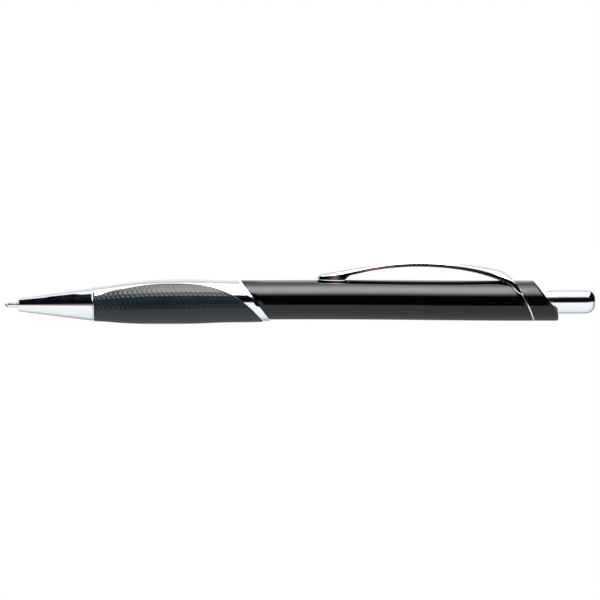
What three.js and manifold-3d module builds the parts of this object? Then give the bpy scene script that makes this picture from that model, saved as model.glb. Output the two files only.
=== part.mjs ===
// Retractable ballpoint pen: plated nose and clip, rubber grip, click mechanism in the rear.
// Millimetres. The pen lies along X with its ball at -X and its button at +X; the clip is on +Z.
// Every station is a distance from the front of the ball, along the axis that the refill lies on.
// The finished group is moved so that the centre of the button's flat end is the origin.

import * as THREE from "three";
import { mergeVertices } from "three/addons/utils/BufferGeometryUtils.js";
import Module from "manifold-3d";

const wasm = await Module();
wasm.setup();

// ---------------------------------------------------------------------------------------------
// Driving dimensions
// ---------------------------------------------------------------------------------------------

const OVERALL_LENGTH = 142;

// Rounds
const ROUND_SEGMENTS = 40;
const FINE_SEGMENTS = 24;
const MERGE_TOLERANCE = 1e-4;

// Clearances
const SEAM_GAP = 0.05;
const SLEEVE_GAP = 0.03;
const FOOT_GAP = 0.06;

// Writing ball and its point
const BALL_RADIUS = 0.5;
const SOCKET_RADIUS = 0.54;
const SOCKET_LIP_STATION = 0.72;
const SOCKET_LIP_WALL = 0.06;
const POINT_RADIUS = 1.15;
const POINT_CONE = [[2, 0.61], [3.4, 0.68], [5.2, POINT_RADIUS]];
const POINT_SHANK_RADIUS = 0.8;
const POINT_SHOULDER = 11;
const POINT_END = 14;
const INK_FEED_RADIUS = 0.35;
const SOCKET_FEED_RADIUS = 0.2;
const SOCKET_FEED_END = 2.2;

// Tip adapter, refill tube and ink
const ADAPTER_RADIUS = 1.2;
const ADAPTER_FEED_RADIUS = 0.5;
const ADAPTER_STEP = 17.2;
const TUBE_FRONT = 20;
const TUBE_END = 104;
const TUBE_RADIUS = 1.5;
const TUBE_BORE_RADIUS = 1.1;
const PLUG_END = 26;
const INK_END = 88;
const EAR_STATION = 36;
const EAR_LENGTH = 1.4;
const EAR_REACH = 2.2;
const EAR_WIDTH = 1.2;

// Return spring
const SPRING_SEAT = 15;
const SPRING_RADIUS = 1.92;
const SPRING_WIRE_RADIUS = 0.18;
const SPRING_TURNS = 11;
const SPRING_STEPS_PER_TURN = 14;
const SPRING_WIRE_SIDES = 6;
const SPRING_BORE_RADIUS = 2.3;

// Nose cone and its thread
const NOSE_FRONT = 3.3;
const NOSE_FRONT_RADIUS = 1.57;
const NOSE_HOLE_RADIUS = 1.27;
const NOSE_EDGE_CHAMFER = 0.12;
const NOSE_END = 21.15;
const NOSE_END_RADIUS = 3.93;
const SPIGOT_END = 26.4;
const THREAD_PITCH = 1;
const THREAD_DEPTH = 0.3;
const THREAD_ROOT_RADIUS = 2.75;
const THREAD_CLEARANCE = 0.1;
const THREAD_START = 21.7;
const THREAD_END = 26.1;
const THREAD_FADE = 0.5;
const THREAD_ROWS_PER_TURN = 6;

// Grip core and rubber sleeve. Each pair is a station and a value; the curve through them is smooth.
const GRIP_FRONT = NOSE_END + SEAM_GAP;
const GRIP_RISE = [[21, 0.1], [28, 0.38], [35, 0.62], [42, 0.7], [50, 0.69], [57, 0.64], [66, 0.64]];
const GRIP_RADIUS = [
  [21, 3.95], [25, 4.24], [28, 4.6], [32, 4.93], [36, 5.1], [42, 5.18],
  [47, 5.12], [51, 4.95], [55, 4.85], [66, 4.83],
];
const SLEEVE_THICKNESS = [[21, 0.15], [26, 0.3], [57, 0.32], [63, 0.24]];
const SLEEVE_UPPER_EDGE = [
  [20.6, 1.78], [24, 2.78], [29, 3.92], [35, 4.76], [41, 4.98], [47, 4.62], [52, 3.48],
  [55.6, 1.68], [58.9, -1.1], [61.9, -4.4], [62.6, -5.4],
];
const CORE_BORE_RADIUS = 2.35;
const CORE_BORE_FRONT = 26.8;
const CORE_SPIGOT_RADIUS = 3.7;
const CORE_SPIGOT_FRONT = 58;
const CORE_END = 72;
const GRIP_END = 66;
const GRIP_ROWS = 16;

// Barrel. Its front edge is a slanted plane, given by the two ends it shows from the side.
const BARREL_RISE = [[56, 0.87], [72, 0.85], [90, 0.73], [108, 0.49], [120, 0.36], [134, 0.31]];
const BARREL_RADIUS = [[56, 4.75], [72, 4.75], [100, 4.81], [127, 4.86], [134, 4.86]];
const BARREL_START = 56;
const BARREL_FINISH = 129;
const BARREL_FRONT_TOP = { station: 56.7, height: 5.68 };
const BARREL_FRONT_BOTTOM = { station: 63.7, height: -4 };
const BARREL_BORE_RADIUS = 3.76;
const BARREL_REAR_BORE_RADIUS = 4.05;
const BARREL_REAR_BORE_FRONT = 103.3;
const BARREL_ROWS = 12;
const BORE_ROWS = 6;

// Clip. The ring is a thin curved disc between barrel and end cap, and the arm grows out of its top.
const RING_THICKNESS = 0.38;
const RING_PROUD = 0.05;
const RING_HOLE_RADIUS = 4.03;
const RING_REAR_EDGE = [
  [121.45, 6.4], [122.25, 5.25], [124.5, 1.95], [125.95, -0.8], [127.45, -4.5], [128, -6],
];
const RING_ROWS = 6;
const RING_START = 119;
const RING_FINISH = 130;
const CLIP_ROWS = 36;
const CLIP_TIP = 75.1;
const CLIP_TOP = [
  [75.1, 5.95], [76, 6.62], [78.2, 7.38], [83, 8.4], [88, 9.27], [93, 9.94], [99, 10.16], [105, 10.03],
  [111, 9.35], [116.5, 8.33], [119.4, 7.62], [121.1, 6.6], [122.25, 5.2], [123.4, 3.6],
];
const CLIP_UNDERSIDE = [
  [83.2, 6.85], [88, 7.74], [93, 8.44], [99, 8.7], [105, 8.46], [111, 7.72], [116.5, 6.42], [119.6, 5.3],
];
const CLIP_FOOT_REAR = 81.6;
const CLIP_ROOT_END = 124.6;
const CLIP_ROOT_BOTTOM = 0.5;
const CLIP_HALF_WIDTH = [
  [80, 2.3], [110, 2.3], [118, 2.34], [120.3, 2.62], [121.6, 3.6], [122.4, 4.12], [125, 4.72],
];
const CLIP_CROWN_HALF_WIDTH = 5.1;
const CLIP_TIP_HALF_WIDTH = 1;
const CLIP_TIP_CORNER = 1.3;
const CLIP_SPLIT = 119.1;
const CLIP_SPLIT_GAP = 0.12;
const CLIP_SADDLE_GAP = 0.04;

// End cap
const CAP_FINISH = 135;
const CAP_REAR_TOP = { station: 127.2, height: 5.18 };
const CAP_REAR_BOTTOM = { station: 133.1, height: -2.55 };
const CAP_BORE_RADIUS = 2.9;
const CAP_COUNTERBORE_RADIUS = 4.03;
const CAP_COUNTERBORE_END = 126.4;

// Click mechanism
const HOUSING_FRONT = 103.5;
const HOUSING_END = 126.3;
const HOUSING_RADIUS = 3.98;
const HOUSING_BORE_RADIUS = 3.06;
const HOUSING_RIB_BORE_RADIUS = 2.5;
const HOUSING_RIB_FRONT = 107.05;
const HOUSING_RIB_END = 112.3;
const KEYWAY_REACH = 3.36;
const KEYWAY_WIDTH = 0.8;
const KEYWAY_END = 124.5;

const CLICK_TRAVEL = 5;
const CLICK_TURN = Math.PI / 4;
const RIB_COUNT = 4;

const ROTOR_FRONT = 101.5;
const ROTOR_RADIUS = 2.35;
const ROTOR_SOCKET_RADIUS = 1.56;
const ROTOR_SOCKET_END = TUBE_END + SEAM_GAP;
const ROTOR_RIB_FRONT = 104;
const ROTOR_RIB_END = 107;
const ROTOR_RIB_RADIUS = 2.95;
const ROTOR_RIB_ANGLE = THREE.MathUtils.degToRad(20);
const ROTOR_CROWN_BASE = 108.6;
const SLOT_SIDE_CLEARANCE = THREE.MathUtils.degToRad(2);

const TOOTH_COUNT = 8;
const TOOTH_HEIGHT = 0.8;
const CROWN_BEVEL = 0.45;
const GUIDE_PIN_RADIUS = 0.8;
const GUIDE_BORE_RADIUS = 0.9;
const GUIDE_PIN_FRONT = 107;
const GUIDE_BORE_FRONT = 105.4;

const CAM_CROWN_BASE = 111.1;
const CAM_HEAD_FRONT = 114;
const CAM_HEAD_END = 116.5;
const CAM_HEAD_RADIUS = 3;
const CAM_KEY_REACH = 3.3;
const CAM_KEY_WIDTH = 0.7;
const CAM_SPIGOT_RADIUS = 2.38;
const CAM_SPIGOT_END = 121;

// Push button
const BUTTON_RADIUS = 2.85;
const BUTTON_BORE_RADIUS = 2.42;
const BUTTON_BORE_END = 139.6;
const BUTTON_FLAT_RADIUS = 0.8;
const BUTTON_CROWN_LENGTH = 2.2;
const BUTTON_CROWN_STEPS = 8;

// How far a piece reaches into the one it is fused to, and a reach that is beyond the pen's girth
const FUSE = 0.25;
const BEYOND = 14;

// ---------------------------------------------------------------------------------------------
// Materials
// ---------------------------------------------------------------------------------------------

const chrome = () => new THREE.MeshStandardMaterial({ color: 0xd9dade, roughness: 0.08, metalness: 1 });
const glossBlack = () => new THREE.MeshStandardMaterial({ color: 0x08080a, roughness: 0.12, metalness: 0 });
const rubber = () => new THREE.MeshStandardMaterial({ color: 0x35373c, roughness: 0.85, metalness: 0 });
const brass = () => new THREE.MeshStandardMaterial({ color: 0xc8a24e, roughness: 0.25, metalness: 1 });
const steel = () => new THREE.MeshStandardMaterial({ color: 0xb9bbbe, roughness: 0.3, metalness: 1 });
const carbide = () => new THREE.MeshStandardMaterial({ color: 0x8d8f94, roughness: 0.2, metalness: 1 });
const clearTube = () => new THREE.MeshStandardMaterial({ color: 0xe4e4de, roughness: 0.35, metalness: 0 });
const ink = () => new THREE.MeshStandardMaterial({ color: 0x10111a, roughness: 0.4, metalness: 0 });
const whitePlastic = () => new THREE.MeshStandardMaterial({ color: 0xe9e7e1, roughness: 0.5, metalness: 0 });
const greyPlastic = () => new THREE.MeshStandardMaterial({ color: 0x8f9296, roughness: 0.5, metalness: 0 });

// ---------------------------------------------------------------------------------------------
// Curves
// ---------------------------------------------------------------------------------------------

/** A smooth function of station through the given pairs, flat beyond both ends. */
function smooth(pairs) {
  const last = pairs.length - 1;
  const slopeAt = (i) => {
    const before = pairs[Math.max(i - 1, 0)];
    const after = pairs[Math.min(i + 1, last)];
    return (after[1] - before[1]) / (after[0] - before[0]);
  };
  return (station) => {
    if (station <= pairs[0][0]) return pairs[0][1];
    if (station >= pairs[last][0]) return pairs[last][1];
    const i = pairs.findIndex((pair) => pair[0] > station) - 1;
    const span = pairs[i + 1][0] - pairs[i][0];
    const t = (station - pairs[i][0]) / span;
    const value = (1 + 2 * t) * (1 - t) ** 2 * pairs[i][1] + t ** 2 * (3 - 2 * t) * pairs[i + 1][1];
    const lean = t * (1 - t) ** 2 * slopeAt(i) - t ** 2 * (1 - t) * slopeAt(i + 1);
    return value + lean * span;
  };
}

const gripRise = smooth(GRIP_RISE);
const gripRadius = smooth(GRIP_RADIUS);
const sleeveThickness = smooth(SLEEVE_THICKNESS);
const barrelRise = smooth(BARREL_RISE);
const barrelRadius = smooth(BARREL_RADIUS);
const clipTop = smooth(CLIP_TOP);

/** Evenly spaced values from start to end, both included. */
function steps(start, end, count) {
  return Array.from({ length: count + 1 }, (_, i) => start + ((end - start) * i) / count);
}

/** Points of a smooth curve through the given [station, height] pairs. */
function curvePoints(pairs, count) {
  const curve = new THREE.SplineCurve(pairs.map(([station, height]) => new THREE.Vector2(station, height)));
  return curve.getPoints(count).map((point) => [point.x, point.y]);
}

/** The same points moved along the pen. */
function shifted(points, distance) {
  return points.map(([station, height]) => [station + distance, height]);
}

/** Ridge of the round thread, 0 at the root and 1 at the crest, right-handed about +X. */
function threadRidge(station, angle) {
  return 0.5 + 0.5 * Math.cos(2 * Math.PI * (station / THREAD_PITCH) - angle);
}

/** 1 inside the threaded length, fading to 0 at both of its ends. */
function threadFade(station, start, end) {
  const inside = Math.min(station - start, end - station) / THREAD_FADE;
  return THREE.MathUtils.clamp(inside, 0, 1);
}

// ---------------------------------------------------------------------------------------------
// Solids
// ---------------------------------------------------------------------------------------------

/** Calls move(vertex) on every vertex of a geometry and stores what it leaves in the vertex. */
function reshape(geometry, move) {
  const position = geometry.attributes.position;
  const vertex = new THREE.Vector3();
  for (let i = 0; i < position.count; i += 1) {
    vertex.fromBufferAttribute(position, i);
    move(vertex);
    position.setXYZ(i, vertex.x, vertex.y, vertex.z);
  }
  return geometry;
}

/** Signed volume of an indexed mesh: negative when its faces look inwards. */
function signedVolume(points, triangles) {
  let volume = 0;
  const corner = [new THREE.Vector3(), new THREE.Vector3(), new THREE.Vector3()];
  for (let i = 0; i < triangles.length; i += 3) {
    corner.forEach((vector, k) => vector.fromArray(points, 3 * triangles[i + k]));
    volume += corner[0].dot(corner[1].cross(corner[2])) / 6;
  }
  return volume;
}

/** A closed three.js geometry as a solid that can be added to and cut. */
function solid(geometry) {
  const bare = geometry.clone();
  bare.deleteAttribute("normal");
  bare.deleteAttribute("uv");
  const merged = mergeVertices(bare, MERGE_TOLERANCE);
  const points = Float32Array.from(merged.attributes.position.array);
  const all = merged.index.array;
  const kept = [];
  for (let i = 0; i < all.length; i += 3) {
    const [a, b, c] = [all[i], all[i + 1], all[i + 2]];
    if (a !== b && b !== c && c !== a) kept.push(a, b, c);
  }
  if (signedVolume(points, kept) < 0) kept.reverse();
  const mesh = new wasm.Mesh({ numProp: 3, vertProperties: points, triVerts: Uint32Array.from(kept) });
  return new wasm.Manifold(mesh);
}

/** A solid turned about the refill axis. The profile starts and ends on the axis, or closes up. */
function turnedGeometry(profile, segments = ROUND_SEGMENTS) {
  const points = profile.map(([station, radius]) => new THREE.Vector2(radius, station));
  return new THREE.LatheGeometry(points, segments).rotateZ(-Math.PI / 2);
}

function turned(profile, segments) {
  return solid(turnedGeometry(profile, segments));
}

/** A plain round bar about the refill axis. */
function bar(start, end, radius, segments) {
  return turned([[start, 0], [start, radius], [end, radius], [end, 0]], segments);
}

/** A round body whose radius changes with station and whose centre line follows rise(station). */
function risingBody(start, end, radius, rise, count) {
  const wall = steps(start, end, count).map((station) => [station, radius(station)]);
  const geometry = turnedGeometry([[start, 0], ...wall, [end, 0]]);
  return solid(reshape(geometry, (vertex) => { vertex.z += rise(vertex.x); }));
}

/** A side-view outline of [station, height] points, extruded across the pen. */
function sideCut(outline, halfWidth = BEYOND) {
  const shape = new THREE.Shape(outline.map(([station, height]) => new THREE.Vector2(station, height)));
  const geometry = new THREE.ExtrudeGeometry(shape, { depth: 2 * halfWidth, bevelEnabled: false });
  return solid(geometry.rotateX(Math.PI / 2).translate(0, halfWidth, 0));
}

/** A top-view outline of [station, y] points, extruded up from the axis. */
function planCut(outline) {
  const shape = new THREE.Shape(outline.map(([station, y]) => new THREE.Vector2(station, y)));
  return solid(new THREE.ExtrudeGeometry(shape, { depth: BEYOND, bevelEnabled: false }));
}

/** A box given by its station range, its half width in Y and its half height in Z. */
function block(start, end, halfY, halfZ) {
  const geometry = new THREE.BoxGeometry(end - start, 2 * halfY, 2 * halfZ);
  return solid(geometry.translate((start + end) / 2, 0, 0));
}

/** A block bent round the axis: its corners follow angle(station, side) and the two radii. */
function bentBlock(start, end, radii, angle, rows, columns) {
  const geometry = new THREE.BoxGeometry(1, 1, 1, rows, columns, 1).translate(0.5, 0.5, 0.5);
  reshape(geometry, (vertex) => {
    const station = THREE.MathUtils.lerp(start, end, vertex.x);
    const turn = angle(station, vertex.y);
    const radius = THREE.MathUtils.lerp(radii[0], radii[1], vertex.z);
    vertex.set(station, radius * Math.cos(turn), radius * Math.sin(turn));
  });
  return solid(geometry);
}

/** Copies of a solid, turned evenly about the axis and added together. */
function repeated(piece, count) {
  const copies = steps(0, 360, count).slice(1).map((degrees) => piece.rotate([degrees, 0, 0]));
  return copies.reduce((sum, copy) => sum.add(copy));
}

/** A solid as a three.js geometry again. */
function toGeometry(manifold) {
  const { vertProperties, triVerts } = manifold.getMesh();
  const geometry = new THREE.BufferGeometry();
  geometry.setAttribute("position", new THREE.BufferAttribute(Float32Array.from(vertProperties), 3));
  geometry.setIndex(new THREE.BufferAttribute(Uint32Array.from(triVerts), 1));
  geometry.computeVertexNormals();
  return geometry;
}

// ---------------------------------------------------------------------------------------------
// Refill
// ---------------------------------------------------------------------------------------------

function writingBall() {
  const sphere = new THREE.SphereGeometry(BALL_RADIUS, FINE_SEGMENTS, FINE_SEGMENTS / 2);
  return solid(sphere.translate(BALL_RADIUS, 0, 0));
}

/** Metal point: a stepped cone whose socket wraps the ball, with the ink feed behind it. */
function pointBody() {
  const lipAngle = Math.acos((SOCKET_LIP_STATION - BALL_RADIUS) / SOCKET_RADIUS);
  const feedAngle = Math.asin(SOCKET_FEED_RADIUS / SOCKET_RADIUS);
  const socket = steps(feedAngle, lipAngle, 8).map((angle) => [
    BALL_RADIUS + SOCKET_RADIUS * Math.cos(angle),
    SOCKET_RADIUS * Math.sin(angle),
  ]);
  const lip = [SOCKET_LIP_STATION, SOCKET_RADIUS * Math.sin(lipAngle) + SOCKET_LIP_WALL];
  return turned([
    lip,
    ...POINT_CONE,
    [POINT_SHOULDER, POINT_RADIUS],
    [POINT_SHOULDER, POINT_SHANK_RADIUS],
    [POINT_END, POINT_SHANK_RADIUS],
    [POINT_END, INK_FEED_RADIUS],
    [SOCKET_FEED_END, INK_FEED_RADIUS],
    [SOCKET_FEED_END - SOCKET_FEED_RADIUS, SOCKET_FEED_RADIUS],
    ...socket,
    lip,
  ], FINE_SEGMENTS);
}

/** Plastic plug that holds the point in front and fills the tube's mouth behind. */
function tipAdapter() {
  const front = POINT_SHOULDER + SEAM_GAP;
  const shankBore = POINT_SHANK_RADIUS + SLEEVE_GAP;
  const plug = TUBE_BORE_RADIUS - SEAM_GAP;
  return turned([
    [front, shankBore],
    [front, ADAPTER_RADIUS],
    [ADAPTER_STEP, ADAPTER_RADIUS],
    [ADAPTER_STEP, TUBE_RADIUS],
    [TUBE_FRONT, TUBE_RADIUS],
    [TUBE_FRONT, plug],
    [PLUG_END, plug],
    [PLUG_END, ADAPTER_FEED_RADIUS],
    [POINT_END + SEAM_GAP, ADAPTER_FEED_RADIUS],
    [POINT_END + SEAM_GAP, shankBore],
    [front, shankBore],
  ], FINE_SEGMENTS);
}

/** Ink tube, open at the back, with two ears squeezed out of its wall for the spring to push on. */
function refillTube() {
  const front = TUBE_FRONT + SEAM_GAP;
  const ears = block(EAR_STATION, EAR_STATION + EAR_LENGTH, EAR_REACH, EAR_WIDTH / 2);
  return bar(front, TUBE_END, TUBE_RADIUS, FINE_SEGMENTS)
    .add(ears)
    .subtract(bar(front - 1, TUBE_END + 1, TUBE_BORE_RADIUS, FINE_SEGMENTS));
}

function inkColumn() {
  return bar(PLUG_END + SEAM_GAP, INK_END, TUBE_BORE_RADIUS - SEAM_GAP, FINE_SEGMENTS);
}

/** Compression spring between the nose cone's seat and the ears of the refill. */
function returnSpring() {
  const start = SPRING_SEAT + SPRING_WIRE_RADIUS + SEAM_GAP;
  const end = EAR_STATION - SPRING_WIRE_RADIUS - SEAM_GAP;
  class Helix extends THREE.Curve {
    getPoint(t, target = new THREE.Vector3()) {
      const angle = 2 * Math.PI * SPRING_TURNS * t;
      const station = THREE.MathUtils.lerp(start, end, t);
      return target.set(station, SPRING_RADIUS * Math.cos(angle), SPRING_RADIUS * Math.sin(angle));
    }
  }
  const wire = new THREE.Shape(steps(0, 2 * Math.PI, SPRING_WIRE_SIDES).slice(1).map((angle) => (
    new THREE.Vector2(SPRING_WIRE_RADIUS * Math.cos(angle), SPRING_WIRE_RADIUS * Math.sin(angle))
  )));
  return solid(new THREE.ExtrudeGeometry(wire, {
    steps: SPRING_TURNS * SPRING_STEPS_PER_TURN,
    extrudePath: new Helix(),
    bevelEnabled: false,
  }));
}

// ---------------------------------------------------------------------------------------------
// Nose cone and grip
// ---------------------------------------------------------------------------------------------

/** Stations through a thread, close enough together to show its ridges. */
function threadStations(start, end) {
  const rows = Math.round(((end - start) * THREAD_ROWS_PER_TURN) / THREAD_PITCH);
  return steps(start, end, rows);
}

/** Moves the vertices of a turned body's wall to radius(station, angle). */
function ripple(geometry, start, end, wallRadius, radius) {
  return reshape(geometry, (vertex) => {
    const distance = Math.hypot(vertex.y, vertex.z);
    if (vertex.x < start || vertex.x > end || Math.abs(distance - wallRadius) > MERGE_TOLERANCE) return;
    const angle = Math.atan2(vertex.z, vertex.y);
    const scale = radius(vertex.x, angle) / distance;
    vertex.y *= scale;
    vertex.z *= scale;
  });
}

function noseCone() {
  const thread = threadStations(THREAD_START, THREAD_END).map((station) => [station, THREAD_ROOT_RADIUS]);
  const geometry = turnedGeometry([
    [NOSE_FRONT, NOSE_HOLE_RADIUS],
    [NOSE_FRONT, NOSE_FRONT_RADIUS - NOSE_EDGE_CHAMFER],
    [NOSE_FRONT + NOSE_EDGE_CHAMFER, NOSE_FRONT_RADIUS],
    [NOSE_END, NOSE_END_RADIUS],
    [NOSE_END, THREAD_ROOT_RADIUS],
    ...thread,
    [SPIGOT_END, THREAD_ROOT_RADIUS],
    [SPIGOT_END, SPRING_BORE_RADIUS],
    [SPRING_SEAT, SPRING_BORE_RADIUS],
    [SPRING_SEAT, NOSE_HOLE_RADIUS],
    [NOSE_FRONT, NOSE_HOLE_RADIUS],
  ]);
  const male = (station, angle) => {
    const height = THREAD_DEPTH * threadRidge(station, angle);
    return THREAD_ROOT_RADIUS + height * threadFade(station, THREAD_START, THREAD_END);
  };
  return solid(ripple(geometry, THREAD_START, THREAD_END, THREAD_ROOT_RADIUS, male));
}

/** The threaded socket in the grip core that the nose cone's spigot screws into. */
function threadSocket() {
  const open = THREAD_ROOT_RADIUS + THREAD_CLEARANCE + THREAD_DEPTH;
  const end = CORE_BORE_FRONT - THREAD_CLEARANCE;
  const thread = threadStations(THREAD_START, end).map((station) => [station, open]);
  const geometry = turnedGeometry([
    [GRIP_FRONT - 1, 0],
    [GRIP_FRONT - 1, open],
    ...thread,
    [CORE_BORE_FRONT, open],
    [CORE_BORE_FRONT, 0],
  ]);
  const female = (station, angle) => {
    const depth = THREAD_DEPTH * (1 - threadRidge(station, angle));
    return open - depth * threadFade(station, THREAD_START, end);
  };
  return solid(ripple(geometry, THREAD_START, end, open, female));
}

/** Side outline of everything in front of the barrel's slanted front edge, or behind it. */
function barrelFrontEdge(offset, far) {
  const { station: topStation, height: topHeight } = BARREL_FRONT_TOP;
  const { station: bottomStation, height: bottomHeight } = BARREL_FRONT_BOTTOM;
  const lean = (bottomStation - topStation) / (topHeight - bottomHeight);
  const at = (height) => topStation + offset + (topHeight - height) * lean;
  return [[at(-BEYOND), -BEYOND], [far, -BEYOND], [far, BEYOND], [at(BEYOND), BEYOND]];
}

/** Plated core: the visible grip body, a spigot into the barrel, and the bore for spring and refill. */
function gripCore() {
  const body = risingBody(GRIP_FRONT, GRIP_END, gripRadius, gripRise, GRIP_ROWS)
    .intersect(sideCut(barrelFrontEdge(-SEAM_GAP, 0)));
  const spigot = risingBody(CORE_SPIGOT_FRONT, CORE_END, () => CORE_SPIGOT_RADIUS, barrelRise, 3);
  return body
    .add(spigot)
    .subtract(threadSocket())
    .subtract(bar(CORE_BORE_FRONT - FUSE, CORE_END + 1, CORE_BORE_RADIUS));
}

/** Rubber sleeve: a skin on the core, open on the clip side along its curved upper edge. */
function gripSleeve() {
  const rubberRadius = (station) => gripRadius(station) + sleeveThickness(station);
  const coreRadius = (station) => gripRadius(station) + SLEEVE_GAP;
  const upperEdge = curvePoints(SLEEVE_UPPER_EDGE, 30);
  const front = upperEdge[0][0];
  const rear = upperEdge[upperEdge.length - 1][0];
  const below = sideCut([...upperEdge, [rear, -BEYOND], [front, -BEYOND]]);
  return risingBody(GRIP_FRONT, GRIP_END, rubberRadius, gripRise, GRIP_ROWS)
    .subtract(risingBody(GRIP_FRONT, GRIP_END, coreRadius, gripRise, GRIP_ROWS))
    .intersect(below)
    .intersect(sideCut(barrelFrontEdge(-4 * SEAM_GAP, 0)));
}

// ---------------------------------------------------------------------------------------------
// Barrel, clip and end cap
// ---------------------------------------------------------------------------------------------

/** Side outline of everything in front of (or behind) the clip ring's curved rear face. */
function ringEdge(offset, far) {
  const edge = shifted(curvePoints(RING_REAR_EDGE, 14), offset);
  const top = edge[0][0];
  const bottom = edge[edge.length - 1][0];
  return [[far, BEYOND], [top, BEYOND], ...edge, [bottom, -BEYOND], [far, -BEYOND]];
}

function barrel() {
  const bore = () => BARREL_BORE_RADIUS;
  const rearBore = () => BARREL_REAR_BORE_RADIUS;
  return risingBody(BARREL_START, BARREL_FINISH, barrelRadius, barrelRise, BARREL_ROWS)
    .subtract(risingBody(BARREL_START - 1, BARREL_FINISH + 1, bore, barrelRise, BORE_ROWS))
    .subtract(risingBody(BARREL_REAR_BORE_FRONT, BARREL_FINISH + 1, rearBore, barrelRise, 3))
    .intersect(sideCut(barrelFrontEdge(0, OVERALL_LENGTH)))
    .intersect(sideCut(ringEdge(-RING_THICKNESS - SEAM_GAP, 0)));
}

/** Top-view outline of the clip: a strip with a rounded tip that flares over the barrel at its root. */
function clipPlan() {
  const halfWidth = smooth(CLIP_HALF_WIDTH);
  const corner = steps(0, Math.PI / 2, 4).map((angle) => [
    CLIP_TIP + CLIP_TIP_CORNER * (1 - Math.sin(angle)),
    CLIP_TIP_HALF_WIDTH + CLIP_TIP_CORNER * Math.cos(angle),
  ]).reverse();
  const root = CLIP_HALF_WIDTH[CLIP_HALF_WIDTH.length - 1][0];
  const stations = [...steps(CLIP_HALF_WIDTH[0][0], CLIP_SPLIT - 1, 4), ...steps(CLIP_SPLIT, root, 12)];
  const edge = [...corner, ...stations.map((station) => [station, halfWidth(station)])];
  const mirrored = edge.map(([station, y]) => [station, -y]).reverse();
  return planCut([...edge, ...mirrored]);
}

/** The clip's outer skin: an oval body round the barrel, as tall as the clip's top curve. */
function clipCrown() {
  const height = (station) => clipTop(station) - barrelRise(station);
  const start = CLIP_TIP - FUSE;
  const wall = steps(start, CLIP_ROOT_END, CLIP_ROWS).map((station) => [station, height(station)]);
  const geometry = turnedGeometry([[start, 0], ...wall, [CLIP_ROOT_END, 0]]);
  return solid(reshape(geometry, (vertex) => {
    vertex.y *= CLIP_CROWN_HALF_WIDTH / height(vertex.x);
    vertex.z += barrelRise(vertex.x);
  }));
}

/** Side outline of the clip: the arm with its wedge foot, and the root down the barrel's flanks. */
function clipSide() {
  const footBottom = barrelRise(CLIP_FOOT_REAR) + barrelRadius(CLIP_FOOT_REAR) + FOOT_GAP;
  const underside = curvePoints(CLIP_UNDERSIDE, 20);
  return sideCut([
    [CLIP_TIP - 1, BEYOND],
    [CLIP_TIP - 1, footBottom],
    [CLIP_FOOT_REAR, footBottom],
    ...underside,
    [CLIP_SPLIT + 1, CLIP_ROOT_BOTTOM],
    [CLIP_ROOT_END + 1, CLIP_ROOT_BOTTOM],
    [CLIP_ROOT_END + 1, BEYOND],
  ]);
}

/** The whole clip above the barrel, before it is parted into the arm and the root. */
function clipBody() {
  const saddleRadius = (station) => barrelRadius(station) + CLIP_SADDLE_GAP;
  const saddle = risingBody(BARREL_START, BARREL_FINISH, saddleRadius, barrelRise, BARREL_ROWS);
  return clipCrown()
    .intersect(clipPlan())
    .intersect(clipSide())
    .subtract(saddle)
    .intersect(sideCut(ringEdge(-SEAM_GAP / 2, 0)));
}

/** Springy arm of the clip, free from the parting to its tip. */
function clipArm() {
  return clipBody().intersect(block(0, CLIP_SPLIT - CLIP_SPLIT_GAP, BEYOND, BEYOND));
}

/** Clip ring: the curved disc held between barrel and end cap, with the clip's root on its top. */
function clipRing() {
  const ringRadius = (station) => barrelRadius(station) + RING_PROUD;
  const hole = () => RING_HOLE_RADIUS;
  const disc = risingBody(RING_START, RING_FINISH, ringRadius, barrelRise, RING_ROWS)
    .intersect(sideCut(ringEdge(-SEAM_GAP / 2, 0)))
    .subtract(sideCut(ringEdge(-RING_THICKNESS, 0)))
    .subtract(risingBody(RING_START - 1, RING_FINISH + 1, hole, barrelRise, RING_ROWS));
  const root = clipBody().intersect(block(CLIP_SPLIT, OVERALL_LENGTH, BEYOND, BEYOND));
  return disc.add(root);
}

/** End cap: closes the barrel behind the ring and guides the button. */
function endCap() {
  const { station: topStation, height: topHeight } = CAP_REAR_TOP;
  const { station: bottomStation, height: bottomHeight } = CAP_REAR_BOTTOM;
  const lean = (bottomStation - topStation) / (topHeight - bottomHeight);
  const rear = sideCut([
    [0, BEYOND],
    [topStation - (BEYOND - topHeight) * lean, BEYOND],
    [bottomStation, bottomHeight],
    [bottomStation, -BEYOND],
    [0, -BEYOND],
  ]);
  const counterbore = () => CAP_COUNTERBORE_RADIUS;
  return risingBody(RING_START, CAP_FINISH, barrelRadius, barrelRise, RING_ROWS)
    .intersect(rear)
    .subtract(sideCut(ringEdge(SEAM_GAP / 2, 0)))
    .subtract(bar(RING_START - 1, CAP_FINISH + 1, CAP_BORE_RADIUS))
    .subtract(risingBody(RING_START - 1, CAP_COUNTERBORE_END, counterbore, barrelRise, RING_ROWS));
}

// ---------------------------------------------------------------------------------------------
// Click mechanism
// ---------------------------------------------------------------------------------------------

/** Moves a turned body's end ring along the axis into a crown of saw teeth. */
function crowned(profile, ringStation, rise) {
  const segment = (2 * Math.PI) / ROUND_SEGMENTS;
  const perTooth = ROUND_SEGMENTS / TOOTH_COUNT;
  return solid(reshape(turnedGeometry(profile), (vertex) => {
    if (Math.abs(vertex.x - ringStation) > MERGE_TOLERANCE || Math.hypot(vertex.y, vertex.z) < 1) return;
    const index = Math.round(Math.atan2(vertex.z, vertex.y) / segment) + ROUND_SEGMENTS;
    vertex.x += rise * ((index % perTooth) / (perTooth - 1));
  }));
}

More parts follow.
